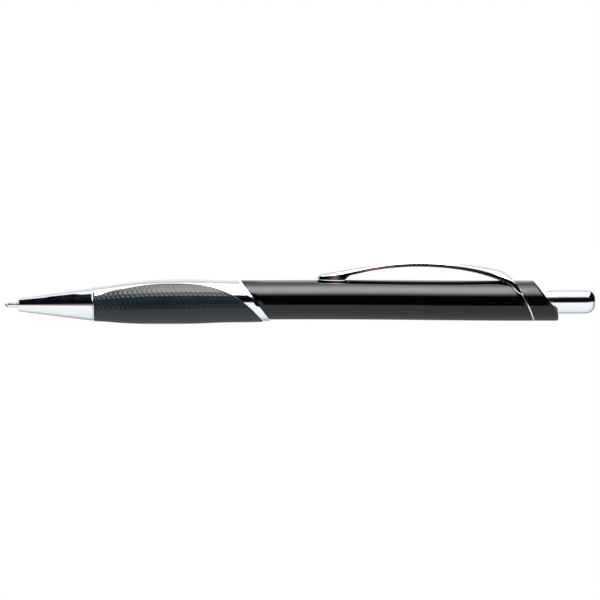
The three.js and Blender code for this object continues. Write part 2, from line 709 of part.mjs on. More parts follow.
/** The slot that one rotor rib sweeps as it slides back and turns. */
function rotorSlot() {
  const turnPerTravel = CLICK_TURN / CLICK_TRAVEL;
  const half = ROTOR_RIB_ANGLE / 2 + SLOT_SIDE_CLEARANCE;
  const leading = (station) => turnPerTravel * Math.max(station - ROTOR_RIB_END, 0) - half;
  const trailing = (station) => turnPerTravel * Math.min(station - ROTOR_RIB_FRONT, CLICK_TRAVEL) + half;
  const angle = (station, side) => THREE.MathUtils.lerp(leading(station), trailing(station), side);
  const radii = [HOUSING_RIB_BORE_RADIUS - FUSE, HOUSING_BORE_RADIUS];
  return bentBlock(HOUSING_RIB_FRONT - FUSE, HOUSING_RIB_END + FUSE, radii, angle, 6, 5);
}

/** Fixed sleeve with the ribs that catch the rotor, and two keyways for the thrust cam. */
function camHousing() {
  const ribs = bar(HOUSING_RIB_FRONT, HOUSING_RIB_END, HOUSING_BORE_RADIUS + FUSE)
    .subtract(bar(HOUSING_RIB_FRONT - 1, HOUSING_RIB_END + 1, HOUSING_RIB_BORE_RADIUS))
    .subtract(repeated(rotorSlot(), RIB_COUNT));
  const shell = risingBody(HOUSING_FRONT, HOUSING_END, () => HOUSING_RADIUS, barrelRise, 8)
    .subtract(bar(HOUSING_FRONT - 1, HOUSING_END + 1, HOUSING_BORE_RADIUS));
  return shell
    .add(ribs)
    .subtract(block(HOUSING_RIB_END, KEYWAY_END, KEYWAY_REACH, KEYWAY_WIDTH / 2));
}

/** Rotor: sits on the back of the refill, with four ribs and a crown of saw teeth. */
function camRotor() {
  const body = crowned([
    [ROTOR_FRONT, ROTOR_SOCKET_RADIUS],
    [ROTOR_FRONT, ROTOR_RADIUS],
    [ROTOR_CROWN_BASE, ROTOR_RADIUS],
    [ROTOR_CROWN_BASE, GUIDE_BORE_RADIUS + CROWN_BEVEL],
    [ROTOR_CROWN_BASE - CROWN_BEVEL, GUIDE_BORE_RADIUS],
    [GUIDE_BORE_FRONT, GUIDE_BORE_RADIUS],
    [GUIDE_BORE_FRONT, 0],
    [ROTOR_SOCKET_END, 0],
    [ROTOR_SOCKET_END, ROTOR_SOCKET_RADIUS],
    [ROTOR_FRONT, ROTOR_SOCKET_RADIUS],
  ], ROTOR_CROWN_BASE, TOOTH_HEIGHT);
  const half = ROTOR_RIB_ANGLE / 2;
  const angle = (_, side) => THREE.MathUtils.lerp(-half, half, side);
  const radii = [ROTOR_RADIUS - FUSE, ROTOR_RIB_RADIUS];
  const rib = bentBlock(ROTOR_RIB_FRONT, ROTOR_RIB_END, radii, angle, 1, 3);
  return body.add(repeated(rib, RIB_COUNT));
}

/** Thrust cam: plugs into the button, keyed in the housing, with teeth that face the rotor. */
function thrustCam() {
  const body = crowned([
    [GUIDE_PIN_FRONT, 0],
    [GUIDE_PIN_FRONT, GUIDE_PIN_RADIUS],
    [CAM_CROWN_BASE + CROWN_BEVEL, GUIDE_PIN_RADIUS],
    [CAM_CROWN_BASE, GUIDE_PIN_RADIUS + CROWN_BEVEL],
    [CAM_CROWN_BASE, ROTOR_RADIUS],
    [CAM_HEAD_FRONT, ROTOR_RADIUS],
    [CAM_HEAD_FRONT, CAM_HEAD_RADIUS],
    [CAM_HEAD_END, CAM_HEAD_RADIUS],
    [CAM_HEAD_END, CAM_SPIGOT_RADIUS],
    [CAM_SPIGOT_END, CAM_SPIGOT_RADIUS],
    [CAM_SPIGOT_END, 0],
  ], CAM_CROWN_BASE, -TOOTH_HEIGHT);
  return body.add(block(CAM_HEAD_FRONT, CAM_HEAD_END, CAM_KEY_REACH, CAM_KEY_WIDTH / 2));
}

/** Push button: a plated cup with a domed end that keeps a small flat. */
function pushButton() {
  const front = CAM_HEAD_END + SEAM_GAP;
  const domeReach = BUTTON_RADIUS - BUTTON_FLAT_RADIUS;
  const dome = steps(0, Math.PI / 2, BUTTON_CROWN_STEPS).map((angle) => [
    OVERALL_LENGTH - BUTTON_CROWN_LENGTH * (1 - Math.sin(angle)),
    BUTTON_FLAT_RADIUS + domeReach * Math.cos(angle),
  ]);
  return turned([
    [front, BUTTON_BORE_RADIUS],
    [front, BUTTON_RADIUS],
    ...dome,
    [OVERALL_LENGTH, 0],
    [BUTTON_BORE_END, 0],
    [BUTTON_BORE_END, BUTTON_BORE_RADIUS],
    [front, BUTTON_BORE_RADIUS],
  ]);
}

// ---------------------------------------------------------------------------------------------
// Assembly
// ---------------------------------------------------------------------------------------------

const PIECES = [
  ["writing_ball", writingBall, carbide],
  ["point_body", pointBody, brass],
  ["tip_adapter", tipAdapter, whitePlastic],
  ["refill_tube", refillTube, clearTube],
  ["ink_column", inkColumn, ink],
  ["return_spring", returnSpring, steel],
  ["nose_cone", noseCone, chrome],
  ["grip_core", gripCore, chrome],
  ["grip_sleeve", gripSleeve, rubber],
  ["barrel", barrel, glossBlack],
  ["clip_arm", clipArm, chrome],
  ["clip_ring", clipRing, chrome],
  ["end_cap", endCap, glossBlack],
  ["cam_housing", camHousing, greyPlastic],
  ["cam_rotor", camRotor, whitePlastic],
  ["thrust_cam", thrustCam, greyPlastic],
  ["push_button", pushButton, chrome],
];

const group = new THREE.Group();
group.name = "ballpoint_pen";
for (const [name, make, material] of PIECES) {
  const mesh = new THREE.Mesh(toGeometry(make()), material());
  mesh.name = name;
  mesh.position.x = -OVERALL_LENGTH;
  group.add(mesh);
}

export default group;
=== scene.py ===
"""Retractable ballpoint pen: its looks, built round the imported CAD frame.

Shapes are modelled in millimetres as (station, y, z). A station is the distance behind the front of the
writing ball, along the axis that the refill lies on; z is the height above that axis. An angle of 0 round
the pen is its top.
"""

import math

import bmesh
import bpy
import numpy as np
from mathutils import Matrix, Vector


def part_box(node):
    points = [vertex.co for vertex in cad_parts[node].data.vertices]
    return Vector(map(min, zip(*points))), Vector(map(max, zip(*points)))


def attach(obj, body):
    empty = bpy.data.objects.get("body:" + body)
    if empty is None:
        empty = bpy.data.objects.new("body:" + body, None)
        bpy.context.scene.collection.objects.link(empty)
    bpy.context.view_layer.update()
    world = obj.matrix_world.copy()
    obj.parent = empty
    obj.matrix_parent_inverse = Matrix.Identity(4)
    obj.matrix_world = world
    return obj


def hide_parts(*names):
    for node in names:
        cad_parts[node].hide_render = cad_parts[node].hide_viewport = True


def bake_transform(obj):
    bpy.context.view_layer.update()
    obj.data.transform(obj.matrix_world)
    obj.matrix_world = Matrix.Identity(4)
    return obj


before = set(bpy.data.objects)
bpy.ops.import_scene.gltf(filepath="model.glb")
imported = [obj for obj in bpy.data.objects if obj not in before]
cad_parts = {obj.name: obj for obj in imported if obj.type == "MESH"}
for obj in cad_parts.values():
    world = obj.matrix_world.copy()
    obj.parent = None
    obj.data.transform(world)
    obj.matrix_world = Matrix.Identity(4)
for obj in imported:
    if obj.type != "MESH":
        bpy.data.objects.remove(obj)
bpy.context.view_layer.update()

# ----------------------------------------------------------
# Places and sizes that the CAD gives
# ----------------------------------------------------------

MM = 0.001
FRONT_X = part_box("writing_ball")[0].x


def x_of(station):
    """A station's place along x in the frame, in metres."""
    return FRONT_X + station * MM


def front_of(node):
    """Station of a CAD node's front end."""
    return (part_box(node)[0].x - FRONT_X) / MM


def rear_of(node):
    """Station of a CAD node's rear end."""
    return (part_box(node)[1].x - FRONT_X) / MM


def half_width_of(node):
    """Half of a CAD node's width across the pen."""
    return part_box(node)[1].y / MM


# ----------------------------------------------------------
# Driving dimensions, in millimetres
# ----------------------------------------------------------

# How finely round shapes are divided
RING_POINTS = 144
FINE_POINTS = 48
CORNER_STEPS = 5
# A rounded corner takes at most this share of each side next to it
CORNER_SHARE = 0.4
# Just past the round, at this many times its size, a point keeps the flat side's shading flat
CORNER_HOLD = 1.15
# A ring with a smaller radius is a single point
ON_AXIS = 1e-6
# How often a meeting of edge and body is worked out anew, each time from the last one
MEETING_ROUNDS = 8
SHARP_ANGLE = math.radians(38)

# Gaps and rounds that the parts share
SEAM_GAP = 0.05
FIT_GAP = 0.03
SEAM_ROUND = 0.06
FINE_ROUND = 0.02
EDGE_ROUND = 0.05
STEP_ROUND = 0.08
SOFT_ROUND = 0.1

BALL_RADIUS = half_width_of("writing_ball")
BALL_ROWS = 24

# Metal point: a cone of (station, radius, round) corners, then a shoulder and a thin shank
SOCKET_RADIUS = 0.54
SOCKET_LIP = front_of("point_body")
SOCKET_ROWS = 10
POINT_CONE = ((SOCKET_LIP, 0.55, 0.02), (2.0, 0.61, 0.1), (3.4, 0.68, 0.2), (5.2, 1.15, 0.2))
POINT_SHOULDER = 11.0
POINT_RADIUS = half_width_of("point_body")
POINT_SHANK_RADIUS = 0.8
POINT_END = rear_of("point_body")
POINT_FEED_RADIUS = 0.35

ADAPTER_RADIUS = 1.2
ADAPTER_STEP = 17.2
ADAPTER_FEED_RADIUS = 0.5
ADAPTER_END = rear_of("tip_adapter")
TUBE_FRONT = front_of("refill_tube")
TUBE_END = rear_of("refill_tube")
TUBE_RADIUS = 1.5
TUBE_BORE_RADIUS = 1.1
EAR_STATION = 36.0
EAR_LENGTH = 1.4
EAR_REACH = half_width_of("refill_tube")
EAR_HALF_ANGLE = math.radians(24)
EAR_SQUARENESS = 4
EAR_ROWS = 15

SPRING_SEAT = 15.0
SPRING_RADIUS = 1.92
SPRING_WIRE_RADIUS = 0.18
SPRING_TURNS = 12
SPRING_CLOSED_TURNS = 1.2
SPRING_CLOSED_PITCH = 2.1 * SPRING_WIRE_RADIUS
SPRING_STEPS_PER_TURN = 28
SPRING_WIRE_SIDES = 10
SPRING_BORE_RADIUS = 2.3

GRIP_FRONT = front_of("grip_core")

NOSE_FRONT = front_of("nose_cone")
NOSE_FRONT_RADIUS = 1.57
NOSE_FRONT_ROUND = 0.12
NOSE_HOLE_RADIUS = 1.27
NOSE_END = GRIP_FRONT - SEAM_GAP
NOSE_END_RADIUS = half_width_of("nose_cone")
NOSE_END_ROUND = 0.04
SPIGOT_END = rear_of("nose_cone")
THREAD_PITCH = 1.0
THREAD_DEPTH = 0.3
THREAD_ROOT_RADIUS = 2.75
THREAD_CLEARANCE = 0.1
THREAD_START = 21.7
THREAD_END = 26.1
THREAD_FADE = 0.5
THREAD_ROWS_PER_TURN = 10

# By station: radius of a section, and rise, the height of its centre above the axis
GRIP_RISE = ((21, 0.1), (28, 0.38), (35, 0.62), (42, 0.7), (50, 0.69), (57, 0.64), (66, 0.64))
GRIP_RADIUS = (
    (21, 3.95), (25, 4.24), (28, 4.6), (32, 4.93), (36, 5.1), (42, 5.18),
    (47, 5.12), (51, 4.95), (55, 4.85), (66, 4.83),
)
CORE_BORE_RADIUS = 2.35
CORE_BORE_FRONT = 26.8
CORE_SPIGOT_RADIUS = 3.7
CORE_SPIGOT_ROWS = 6
CORE_END = rear_of("grip_core")
GRIP_ROWS = 56

# By station: the sleeve's thickness, and the height of its upper edge
SLEEVE_THICKNESS = ((21, 0.15), (26, 0.3), (57, 0.32), (63, 0.24))
SLEEVE_UPPER_EDGE = (
    (20.6, 1.78), (24, 2.78), (29, 3.92), (35, 4.76), (41, 4.98), (47, 4.62), (52, 3.48),
    (55.6, 1.68), (58.9, -1.1), (61.9, -4.4), (62.6, -5.4),
)
SLEEVE_FRONT = 21.42
SLEEVE_END = 61.95
SLEEVE_ROUND = 0.16
# The sleeve runs to a point behind, but never to nothing: the cosine that half its angle stops at
SLEEVE_POINT_COSINE = 0.99995
SLEEVE_ROWS = 210
SLEEVE_COLUMNS = 64
# Points near the sleeve's edge, as distances from it: close together where it rounds off
EDGE_STEPS = (0, 0.015, 0.04, 0.08, 0.13, 0.2, 0.3, 0.42)
DIMPLE_PITCH = 1.15
DIMPLE_ROW_PITCH = 1.0
DIMPLE_RADIUS = 0.47
DIMPLE_DEPTH = 0.06
# The dimples fade in between these two distances from the edge
DIMPLE_MARGIN = (0.35, 0.8)
SLEEVE_NOMINAL_RADIUS = 5.3

BARREL_RISE = ((56, 0.87), (72, 0.85), (90, 0.73), (108, 0.49), (120, 0.36), (134, 0.31))
BARREL_RADIUS = ((56, 4.75), (72, 4.75), (100, 4.81), (127, 4.86), (134, 4.86))
# Top and bottom of the slanted front edge, as (station, height)
BARREL_FRONT_TOP = (56.7, 5.68)
BARREL_FRONT_BOTTOM = (63.7, -4.0)
BARREL_BORE_RADIUS = 3.76
BARREL_REAR_BORE_RADIUS = 4.05
BARREL_REAR_BORE_FRONT = 103.3
BARREL_EDGE_ROUND = 0.18
BARREL_ROWS = 48
BORE_ROWS = 12

# Rear edge of the clip's ring, as (height, station)
RING_REAR_EDGE = ((-6, 128), (-4.5, 127.45), (-0.8, 125.95), (1.95, 124.5), (5.25, 122.25), (6.4, 121.45))
RING_THICKNESS = 0.38
RING_PROUD = 0.05
RING_HOLE_RADIUS = 4.03
RING_EDGE_ROUND = 0.1

# Top and bottom of the slanted rear face, as (station, height), and the size of the bend below it
CAP_REAR_TOP = (127.1, 5.18)
CAP_REAR_BOTTOM = (133.05, -2.95)
CAP_REAR_BLEND = 0.15
CAP_BORE_RADIUS = 2.9
CAP_BORE_ROUND = 0.15
CAP_COUNTERBORE_RADIUS = 4.03
CAP_COUNTERBORE_END = 126.4
CAP_EDGE_ROUND = 0.35
CAP_ROWS = 16
CAP_FACE_ROWS = 6

PEN_LENGTH = rear_of("push_button")
BUTTON_FRONT = front_of("push_button")
BUTTON_RADIUS = half_width_of("push_button")
BUTTON_BORE_RADIUS = 2.42
BUTTON_BORE_END = 139.6
BUTTON_BORE_ROUND = 0.2
BUTTON_EDGE_ROUND = 0.15
BUTTON_FLAT_RADIUS = 0.8
BUTTON_CROWN_LENGTH = 2.2
BUTTON_CROWN_STEPS = 14

# The clip's free arm, from tip to root: station, top of the crown, crown's edge and rim, as heights
CLIP_ARM = (
    (75.15, 6.3, 6.2, 5.95),
    (75.3, 6.55, 6.32, 5.76),
    (75.6, 6.8, 6.42, 5.62),
    (76.3, 7.07, 6.5, 5.48),
    (78.2, 7.5, 6.62, 5.36),
    (79.7, 7.8, 6.76, 5.3),
    (81.2, 8.04, 6.98, 5.3),
    (81.9, 8.18, 7.12, 5.46),
    (82.4, 8.28, 7.22, 6.05),
    (83.04, 8.42, 7.38, 6.58),
    (84.97, 8.75, 7.77, 7.02),
    (87.9, 9.25, 8.35, 7.64),
    (91.7, 9.8, 8.94, 8.2),
    (95.6, 10.08, 9.28, 8.54),
    (99.4, 10.17, 9.4, 8.64),
    (104.2, 10.05, 9.22, 8.44),
    (109, 9.65, 8.7, 7.9),
    (113.4, 8.95, 7.93, 7.08),
    (116.3, 8.37, 7.18, 6.26),
)
CLIP_HALF_WIDTH = ((75.15, 0.85), (75.3, 1.5), (75.6, 1.9), (76.0, 2.15), (76.6, 2.3), (116.3, 2.3))
# Height of the bevel under the clip's side: it is wide on the foot and only breaks the edge elsewhere
CLIP_BEVEL = (
    (75.15, 0.06), (76.5, 0.16), (78, 0.22), (81.2, 0.22), (82.2, 0.12), (83.2, 0.05), (116.3, 0.05),
)
# How far the bevel runs inwards for each millimetre down
CLIP_BEVEL_SLOPE = 0.35
# How far the side leans out for each millimetre down
CLIP_LEAN = (
    (75.15, 0.1), (77.6, 0.1), (78.7, 0.02), (80.2, 0.02), (81.1, 0.1), (84, 0.08), (86, 0.02),
    (92.5, 0.02), (94.5, 0.05), (108, 0.05), (116.3, 0.07),
)
# Least height of the underside in the middle, clear of the barrel
CLIP_FOOT_CLEAR = 5.69
# The clip's root, down to the ring: crown's edge (station, y, z), top (station, z), heel at the foot of the
# side (station, y, z), rim on the barrel (station, y, z), and height of the underside in the middle
CLIP_ROOT = (
    (118.1, 2.44, 6.58, 117.8, 8.03, 118.12, 2.52, 5.74, 118.15, 2.46, 5.66, 5.64),
    (119.6, 2.88, 6.02, 119.1, 7.72, 119.75, 3.0, 5.14, 119.95, 2.88, 4.7, 5.34),
    (120.95, 3.45, 5.5, 120.35, 7.2, 121.2, 3.64, 4.4, 121.5, 3.56, 3.8, 5.31),
    (122.1, 3.98, 4.95, 121.45, 6.35, 122.5, 4.28, 3.4, 122.75, 4.22, 2.72, 5.3),
    (123.12, 4.36, 4.12, 121.95, 5.78, 123.45, 4.58, 2.42, 123.62, 4.52, 2.02, 5.29),
    (123.79, 4.5, 3.1, 122.2, 5.31, 124.3, 4.66, 2.04, 124.42, 4.61, 1.86, 5.28),
)
# The crown is the middle of an oval, out to this share of its half width
CLIP_CROWN_OVAL = 0.62
# Radius of the arc that hollows the underside
CLIP_SADDLE_RADIUS = 4.9
CLIP_CROWN_POINTS = 12
CLIP_UNDER_POINTS = 8
CLIP_TIP_SECTIONS = 10
CLIP_TIP_END = 76.6
CLIP_ARM_SECTIONS = 90
CLIP_ROOT_SECTIONS = 30
# Rounds of the crown's edge, the heel and the rim
CLIP_CORNER_CUTS = [0.04, 0.03, 0.03]

# ----------------------------------------------------------
# Curves and edges
# ----------------------------------------------------------


def smooth(pairs):
    """A smooth function through (where, value) pairs, flat beyond both ends."""
    where, value = np.array(pairs, float).T
    slope = np.gradient(value, where)
    slope[1:-1] = (value[2:] - value[:-2]) / (where[2:] - where[:-2])

    def curve(at):
        at = np.clip(np.asarray(at, float), where[0], where[-1])
        i = np.clip(np.searchsorted(where, at, side="right") - 1, 0, len(where) - 2)
        span = where[i + 1] - where[i]
        t = (at - where[i]) / span
        straight = (1 + 2 * t) * (1 - t) ** 2 * value[i] + t**2 * (3 - 2 * t) * value[i + 1]
        lean = t * (1 - t) ** 2 * slope[i] - t**2 * (1 - t) * slope[i + 1]
        return straight + lean * span

    return curve


def steady(value):
    """A function that is the same everywhere."""
    return lambda at: np.full(np.shape(at), float(value))


def shifted(curve, distance):
    """The same function with a distance added to its value."""
    return lambda at: curve(at) + distance


def slanted(top, bottom):
    """Station of a slanted plane as a function of height, through two (station, height) points."""
    lean = (bottom[0] - top[0]) / (top[1] - bottom[1])
    return lambda height: top[0] + (top[1] - np.asarray(height, float)) * lean


grip_rise = smooth(GRIP_RISE)
grip_radius = smooth(GRIP_RADIUS)
sleeve_thickness = smooth(SLEEVE_THICKNESS)
sleeve_upper_edge = smooth(SLEEVE_UPPER_EDGE)
barrel_rise = smooth(BARREL_RISE)
barrel_radius = smooth(BARREL_RADIUS)
barrel_front = slanted(BARREL_FRONT_TOP, BARREL_FRONT_BOTTOM)
ring_rear = smooth(RING_REAR_EDGE)
clip_half_width = smooth(CLIP_HALF_WIDTH)
clip_bevel = smooth(CLIP_BEVEL)
clip_lean = smooth(CLIP_LEAN)


def cap_rear(height):
    """Station of the end cap's rear face: slanted above, square below, with a soft bend between."""
    slant = slanted(CAP_REAR_TOP, CAP_REAR_BOTTOM)(height)
    square = CAP_REAR_BOTTOM[0]
    middle = (slant + square) / 2
    return middle - np.sqrt(((slant - square) / 2) ** 2 + CAP_REAR_BLEND**2) + CAP_REAR_BLEND / 2


# ----------------------------------------------------------
# Rings and surfaces
# ----------------------------------------------------------


def angles(count=RING_POINTS):
    """Even angles round the pen, from its top."""
    return np.linspace(0, 2 * np.pi, count, endpoint=False)


def ring(station, radius, centre=0.0, count=RING_POINTS):
    """Points round the pen. Station, radius and centre height may differ with the angle."""
    turn = angles(count)
    across = radius * np.sin(turn)
    up = centre + radius * np.cos(turn)
    return np.column_stack([np.broadcast_to(station, count), across, up])


def ring_or_point(station, radius, count):
    """A ring about the pen's axis, or a single point where the radius is 0."""
    if radius < ON_AXIS:
        return np.array([[station, 0.0, 0.0]])
    return ring(station, radius, 0.0, count)


def meet(edge, radius, centre):
    """Station at each angle where a body of this radius and centre meets an edge."""
    station = edge(np.zeros(RING_POINTS))
    for _ in range(MEETING_ROUNDS):
        station = edge(centre(station) + radius(station) * np.cos(angles()))
    return station


def wall(start, end, radius, centre, rows):
    """Rings along a body, from one station or edge to another."""
    rings = []
    for share in np.linspace(0, 1, rows + 1):
        station = np.broadcast_to(start + (end - start) * share, RING_POINTS)
        rings.append(ring(station, radius(station), centre(station)))
    return rings


def rounded_edge(edge, inward, radius, centre, size):
    """Rings of a rounded edge, from the end face to the wall.

    Inward is 1 at a front edge and -1 at a rear one.
    """
    rings = []
    for turn in np.linspace(0, np.pi / 2, CORNER_STEPS + 1):
        inset = size * (1 - math.sin(turn))
        station = meet(edge, shifted(radius, -inset), centre) + inward * size * (1 - math.cos(turn))
        rings.append(ring(station, radius(station) - inset, centre(station)))
    return rings


def outer_wall(front, rear, radius, centre, size, rows):
    """Rings of a body's outside between two edges, with both edges rounded."""
    front_rings = rounded_edge(front, 1, radius, centre, size)
    rear_rings = rounded_edge(rear, -1, radius, centre, size)[::-1]
    between = wall(front_rings[-1][:, 0], rear_rings[0][:, 0], radius, centre, rows)
    return front_rings + between[1:-1] + rear_rings


def bent(points, cuts):
    """The points with corners rounded: each is cut back by its cut, at most, and bridged by a curve."""
    points = [np.asarray(p, float) for p in points]
    out = []
    for i, (here, cut) in enumerate(zip(points, cuts)):
        if cut == 0:
            out.append(here)
            continue
        before = points[i - 1] - here
        after = points[(i + 1) % len(points)] - here
        lengths = np.linalg.norm(before), np.linalg.norm(after)
        reach = min(cut, CORNER_SHARE * min(lengths))
        start = here + before / lengths[0] * reach
        end = here + after / lengths[1] * reach
        out.append(here + before / lengths[0] * reach * CORNER_HOLD)
        for t in np.linspace(0, 1, CORNER_STEPS):
            out.append((1 - t) ** 2 * start + 2 * t * (1 - t) * here + t**2 * end)
        out.append(here + after / lengths[1] * reach * CORNER_HOLD)
    return out


def turned(corners, count=RING_POINTS):
    """Rings of a turned body from (station, radius, corner round) corners."""
    profile = bent([corner[:2] for corner in corners], [corner[2] for corner in corners])
    return [ring_or_point(station, radius, count) for station, radius in profile]


def strip(a, a_count, b, b_count):
    """Faces between two rings of points, or between a ring and a single point."""
    count = max(a_count, b_count)
    faces = []
    for i in range(count):
        j = (i + 1) % count
        if a_count == 1:
            faces.append((a, b + j, b + i))
        elif b_count == 1:
            faces.append((a + i, a + j, b))
        else:
            faces.append((a + i, a + j, b + j, b + i))
    return faces


def joined(rings, loop=False):
    """A surface through the rings, as points and faces. With loop, the last ring joins the first."""
    starts = [int(n) for n in np.cumsum([0] + [len(r) for r in rings])]
    order = list(range(len(rings))) + ([0] if loop else [])
    faces = []
    for a, b in zip(order, order[1:]):
        faces += strip(starts[a], len(rings[a]), starts[b], len(rings[b]))
    return np.vstack(rings), faces


def folded_ends(surface, width):
    """The surface with its first and last ring folded shut. A ring runs out over width points and back."""
    points, faces = surface
    for start in (0, len(points) - 2 * width):
        for i in range(width - 1):
            out = start + i
            back = start + 2 * width - 1 - i
            faces.append((out, out + 1, back - 1, back))
    return points, faces


def add_piece(name, surfaces, material, nodes, body=None):
    """A smooth object from closed surfaces, standing for CAD nodes. It rides on a body if one is given."""
    points = []
    faces = []
    for surface_points, surface_faces in surfaces:
        first = len(points)
        points += [(x_of(station), y * MM, z * MM) for station, y, z in surface_points]
        faces += [tuple(first + i for i in face) for face in surface_faces]
    mesh = bpy.data.meshes.new(name)
    mesh.from_pydata(points, [], faces)
    shape = bmesh.new()
    shape.from_mesh(mesh)
    bmesh.ops.recalc_face_normals(shape, faces=shape.faces)
    shape.to_mesh(mesh)
    shape.free()
    mesh.shade_smooth()
    mesh.set_sharp_from_angle(angle=SHARP_ANGLE)
    mesh.materials.append(material)
    piece = bpy.data.objects.new(name, mesh)
    bpy.context.scene.collection.objects.link(piece)
    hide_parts(*nodes)
    if body:
        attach(piece, body)
    return piece


# ----------------------------------------------------------
# Materials, one for each of the record's slots
# ----------------------------------------------------------

# Noise as (features per metre, detail): one shifts the colour, the other the roughness, as from handling
COLOUR_NOISE = (160.0, 3.0)
HANDLING_NOISE = (420.0, 4.0)
GRAIN_DETAIL = 2.0
WAVE_DETAIL = 1.0
# Most of a noise texture's values lie in this range
NOISE_RANGE = (0.3, 0.7)


def link_noise(material, scale, detail):
    """A noise texture in the object's own space; scale is features per metre."""
    tree = material.node_tree
    place = tree.nodes.new("ShaderNodeTexCoord")
    noise = tree.nodes.new("ShaderNodeTexNoise")
    noise.inputs["Scale"].default_value = scale
    noise.inputs["Detail"].default_value = detail
    tree.links.new(place.outputs["Object"], noise.inputs["Vector"])
    return noise.outputs["Fac"]


def link_range(material, noise, low, high):
    """The noise, spread over low to high."""
    tree = material.node_tree
    spread = tree.nodes.new("ShaderNodeMapRange")
    spread.inputs["From Min"].default_value = NOISE_RANGE[0]
    spread.inputs["From Max"].default_value = NOISE_RANGE[1]
    spread.inputs["To Min"].default_value = low
    spread.inputs["To Max"].default_value = high
    tree.links.new(noise, spread.inputs["Value"])
    return spread.outputs["Result"]


def link_bump(material, noise, height, normal=None):
    """A bump of this height in metres, on top of another if one is given."""
    tree = material.node_tree
    bump = tree.nodes.new("ShaderNodeBump")
    bump.inputs["Strength"].default_value = 1.0
    bump.inputs["Distance"].default_value = height
    tree.links.new(noise, bump.inputs["Height"])
    if normal is not None:
        tree.links.new(normal, bump.inputs["Normal"])
    return bump.outputs["Normal"]


def finish_material(slot, dark, light, roughness, grain, waves, **values):
    """A principled material for a slot. Colour and roughness drift between two values.

    Grain and waves are bumps as (features per metre, height in metres): fine texture and slow unevenness.
    The slot's name is kept with the material, as Blender numbers a name that the frame already has.
    """
    material = bpy.data.materials.new(slot)
    material["slot"] = slot
    material.use_nodes = True
    tree = material.node_tree
    shader = tree.nodes["Principled BSDF"]
    for key, value in values.items():
        shader.inputs[key.replace("_", " ")].default_value = value
    mix = tree.nodes.new("ShaderNodeMix")
    mix.data_type = "RGBA"
    mix.inputs["A"].default_value = (*dark, 1.0)
    mix.inputs["B"].default_value = (*light, 1.0)
    blotches = link_noise(material, *COLOUR_NOISE)
    tree.links.new(link_range(material, blotches, 0.0, 1.0), mix.inputs["Factor"])
    tree.links.new(mix.outputs["Result"], shader.inputs["Base Color"])
    handled = link_noise(material, *HANDLING_NOISE)
    tree.links.new(link_range(material, handled, *roughness), shader.inputs["Roughness"])
    slow = link_bump(material, link_noise(material, waves[0], WAVE_DETAIL), waves[1])
    fine = link_bump(material, link_noise(material, grain[0], GRAIN_DETAIL), grain[1], slow)
    tree.links.new(fine, shader.inputs["Normal"])
    return material


def chrome():
    """Bright plating over moulded plastic."""
    return finish_material(
        "chrome", dark=(0.84, 0.845, 0.86), light=(0.88, 0.885, 0.895),
        roughness=(0.03, 0.07), grain=(5000, 2e-7), waves=(90, 4e-6), Metallic=1.0,
    )


def gloss_black():
    """Black plastic with a clean gloss."""
    return finish_material(
        "gloss_black", dark=(0.0005, 0.0005, 0.0008), light=(0.0009, 0.0009, 0.0013),
        roughness=(0.08, 0.13), grain=(6000, 2e-7), waves=(110, 3e-6), IOR=1.44,
    )


def rubber():
    """Blue-black rubber with a soft sheen."""
    return finish_material(
        "rubber", dark=(0.003, 0.0095, 0.015), light=(0.0045, 0.0125, 0.0195),
        roughness=(0.27, 0.34), grain=(4500, 5e-6), waves=(300, 6e-6), IOR=1.47,
    )


def brass():
    """Pale turned metal of the writing point."""
    return finish_material(
        "brass", dark=(0.78, 0.75, 0.69), light=(0.88, 0.85, 0.79),
        roughness=(0.14, 0.26), grain=(9000, 1e-6), waves=(200, 2e-6), Metallic=1.0,
    )


def carbide():
    """Grey ground metal of the ball."""
    return finish_material(
        "carbide", dark=(0.4, 0.4, 0.42), light=(0.5, 0.5, 0.52),
        roughness=(0.12, 0.2), grain=(12000, 5e-7), waves=(900, 5e-7), Metallic=1.0,
    )


def spring_steel():
    """Drawn steel wire."""
    return finish_material(
        "spring_steel", dark=(0.55, 0.56, 0.57), light=(0.66, 0.67, 0.68),
        roughness=(0.18, 0.3), grain=(9000, 1e-6), waves=(400, 2e-6), Metallic=1.0,
    )


def clear_tube():
    """Milky, half see-through plastic."""
    return finish_material(
        "clear_tube", dark=(0.8, 0.8, 0.77), light=(0.86, 0.86, 0.83),
        roughness=(0.22, 0.34), grain=(5000, 1e-6), waves=(150, 6e-6), IOR=1.49, Transmission_Weight=0.55,
    )


def ink():
    """Blue-black paste."""
    return finish_material(
        "ink", dark=(0.006, 0.007, 0.014), light=(0.012, 0.013, 0.024),
        roughness=(0.3, 0.42), grain=(2500, 6e-6), waves=(300, 8e-6),
    )


def white_plastic():
    """Off-white moulded plastic."""
    return finish_material(
        "white_plastic", dark=(0.74, 0.73, 0.69), light=(0.8, 0.79, 0.76),
        roughness=(0.36, 0.5), grain=(6000, 3e-6), waves=(200, 8e-6),
    )


def grey_plastic():
    """Grey moulded plastic."""
    return finish_material(
        "grey_plastic", dark=(0.24, 0.25, 0.265), light=(0.29, 0.3, 0.315),
        roughness=(0.34, 0.48), grain=(6000, 4e-6), waves=(200, 8e-6),
    )


# ----------------------------------------------------------
# Refill, spring and nose cone
# ----------------------------------------------------------


def writing_ball():
    """The whole ball, although only its front shows."""
    turns = np.linspace(0, np.pi, BALL_ROWS + 1)
    return joined([
        ring_or_point(BALL_RADIUS * (1 - math.cos(turn)), BALL_RADIUS * math.sin(turn), FINE_POINTS)
        for turn in turns
    ])


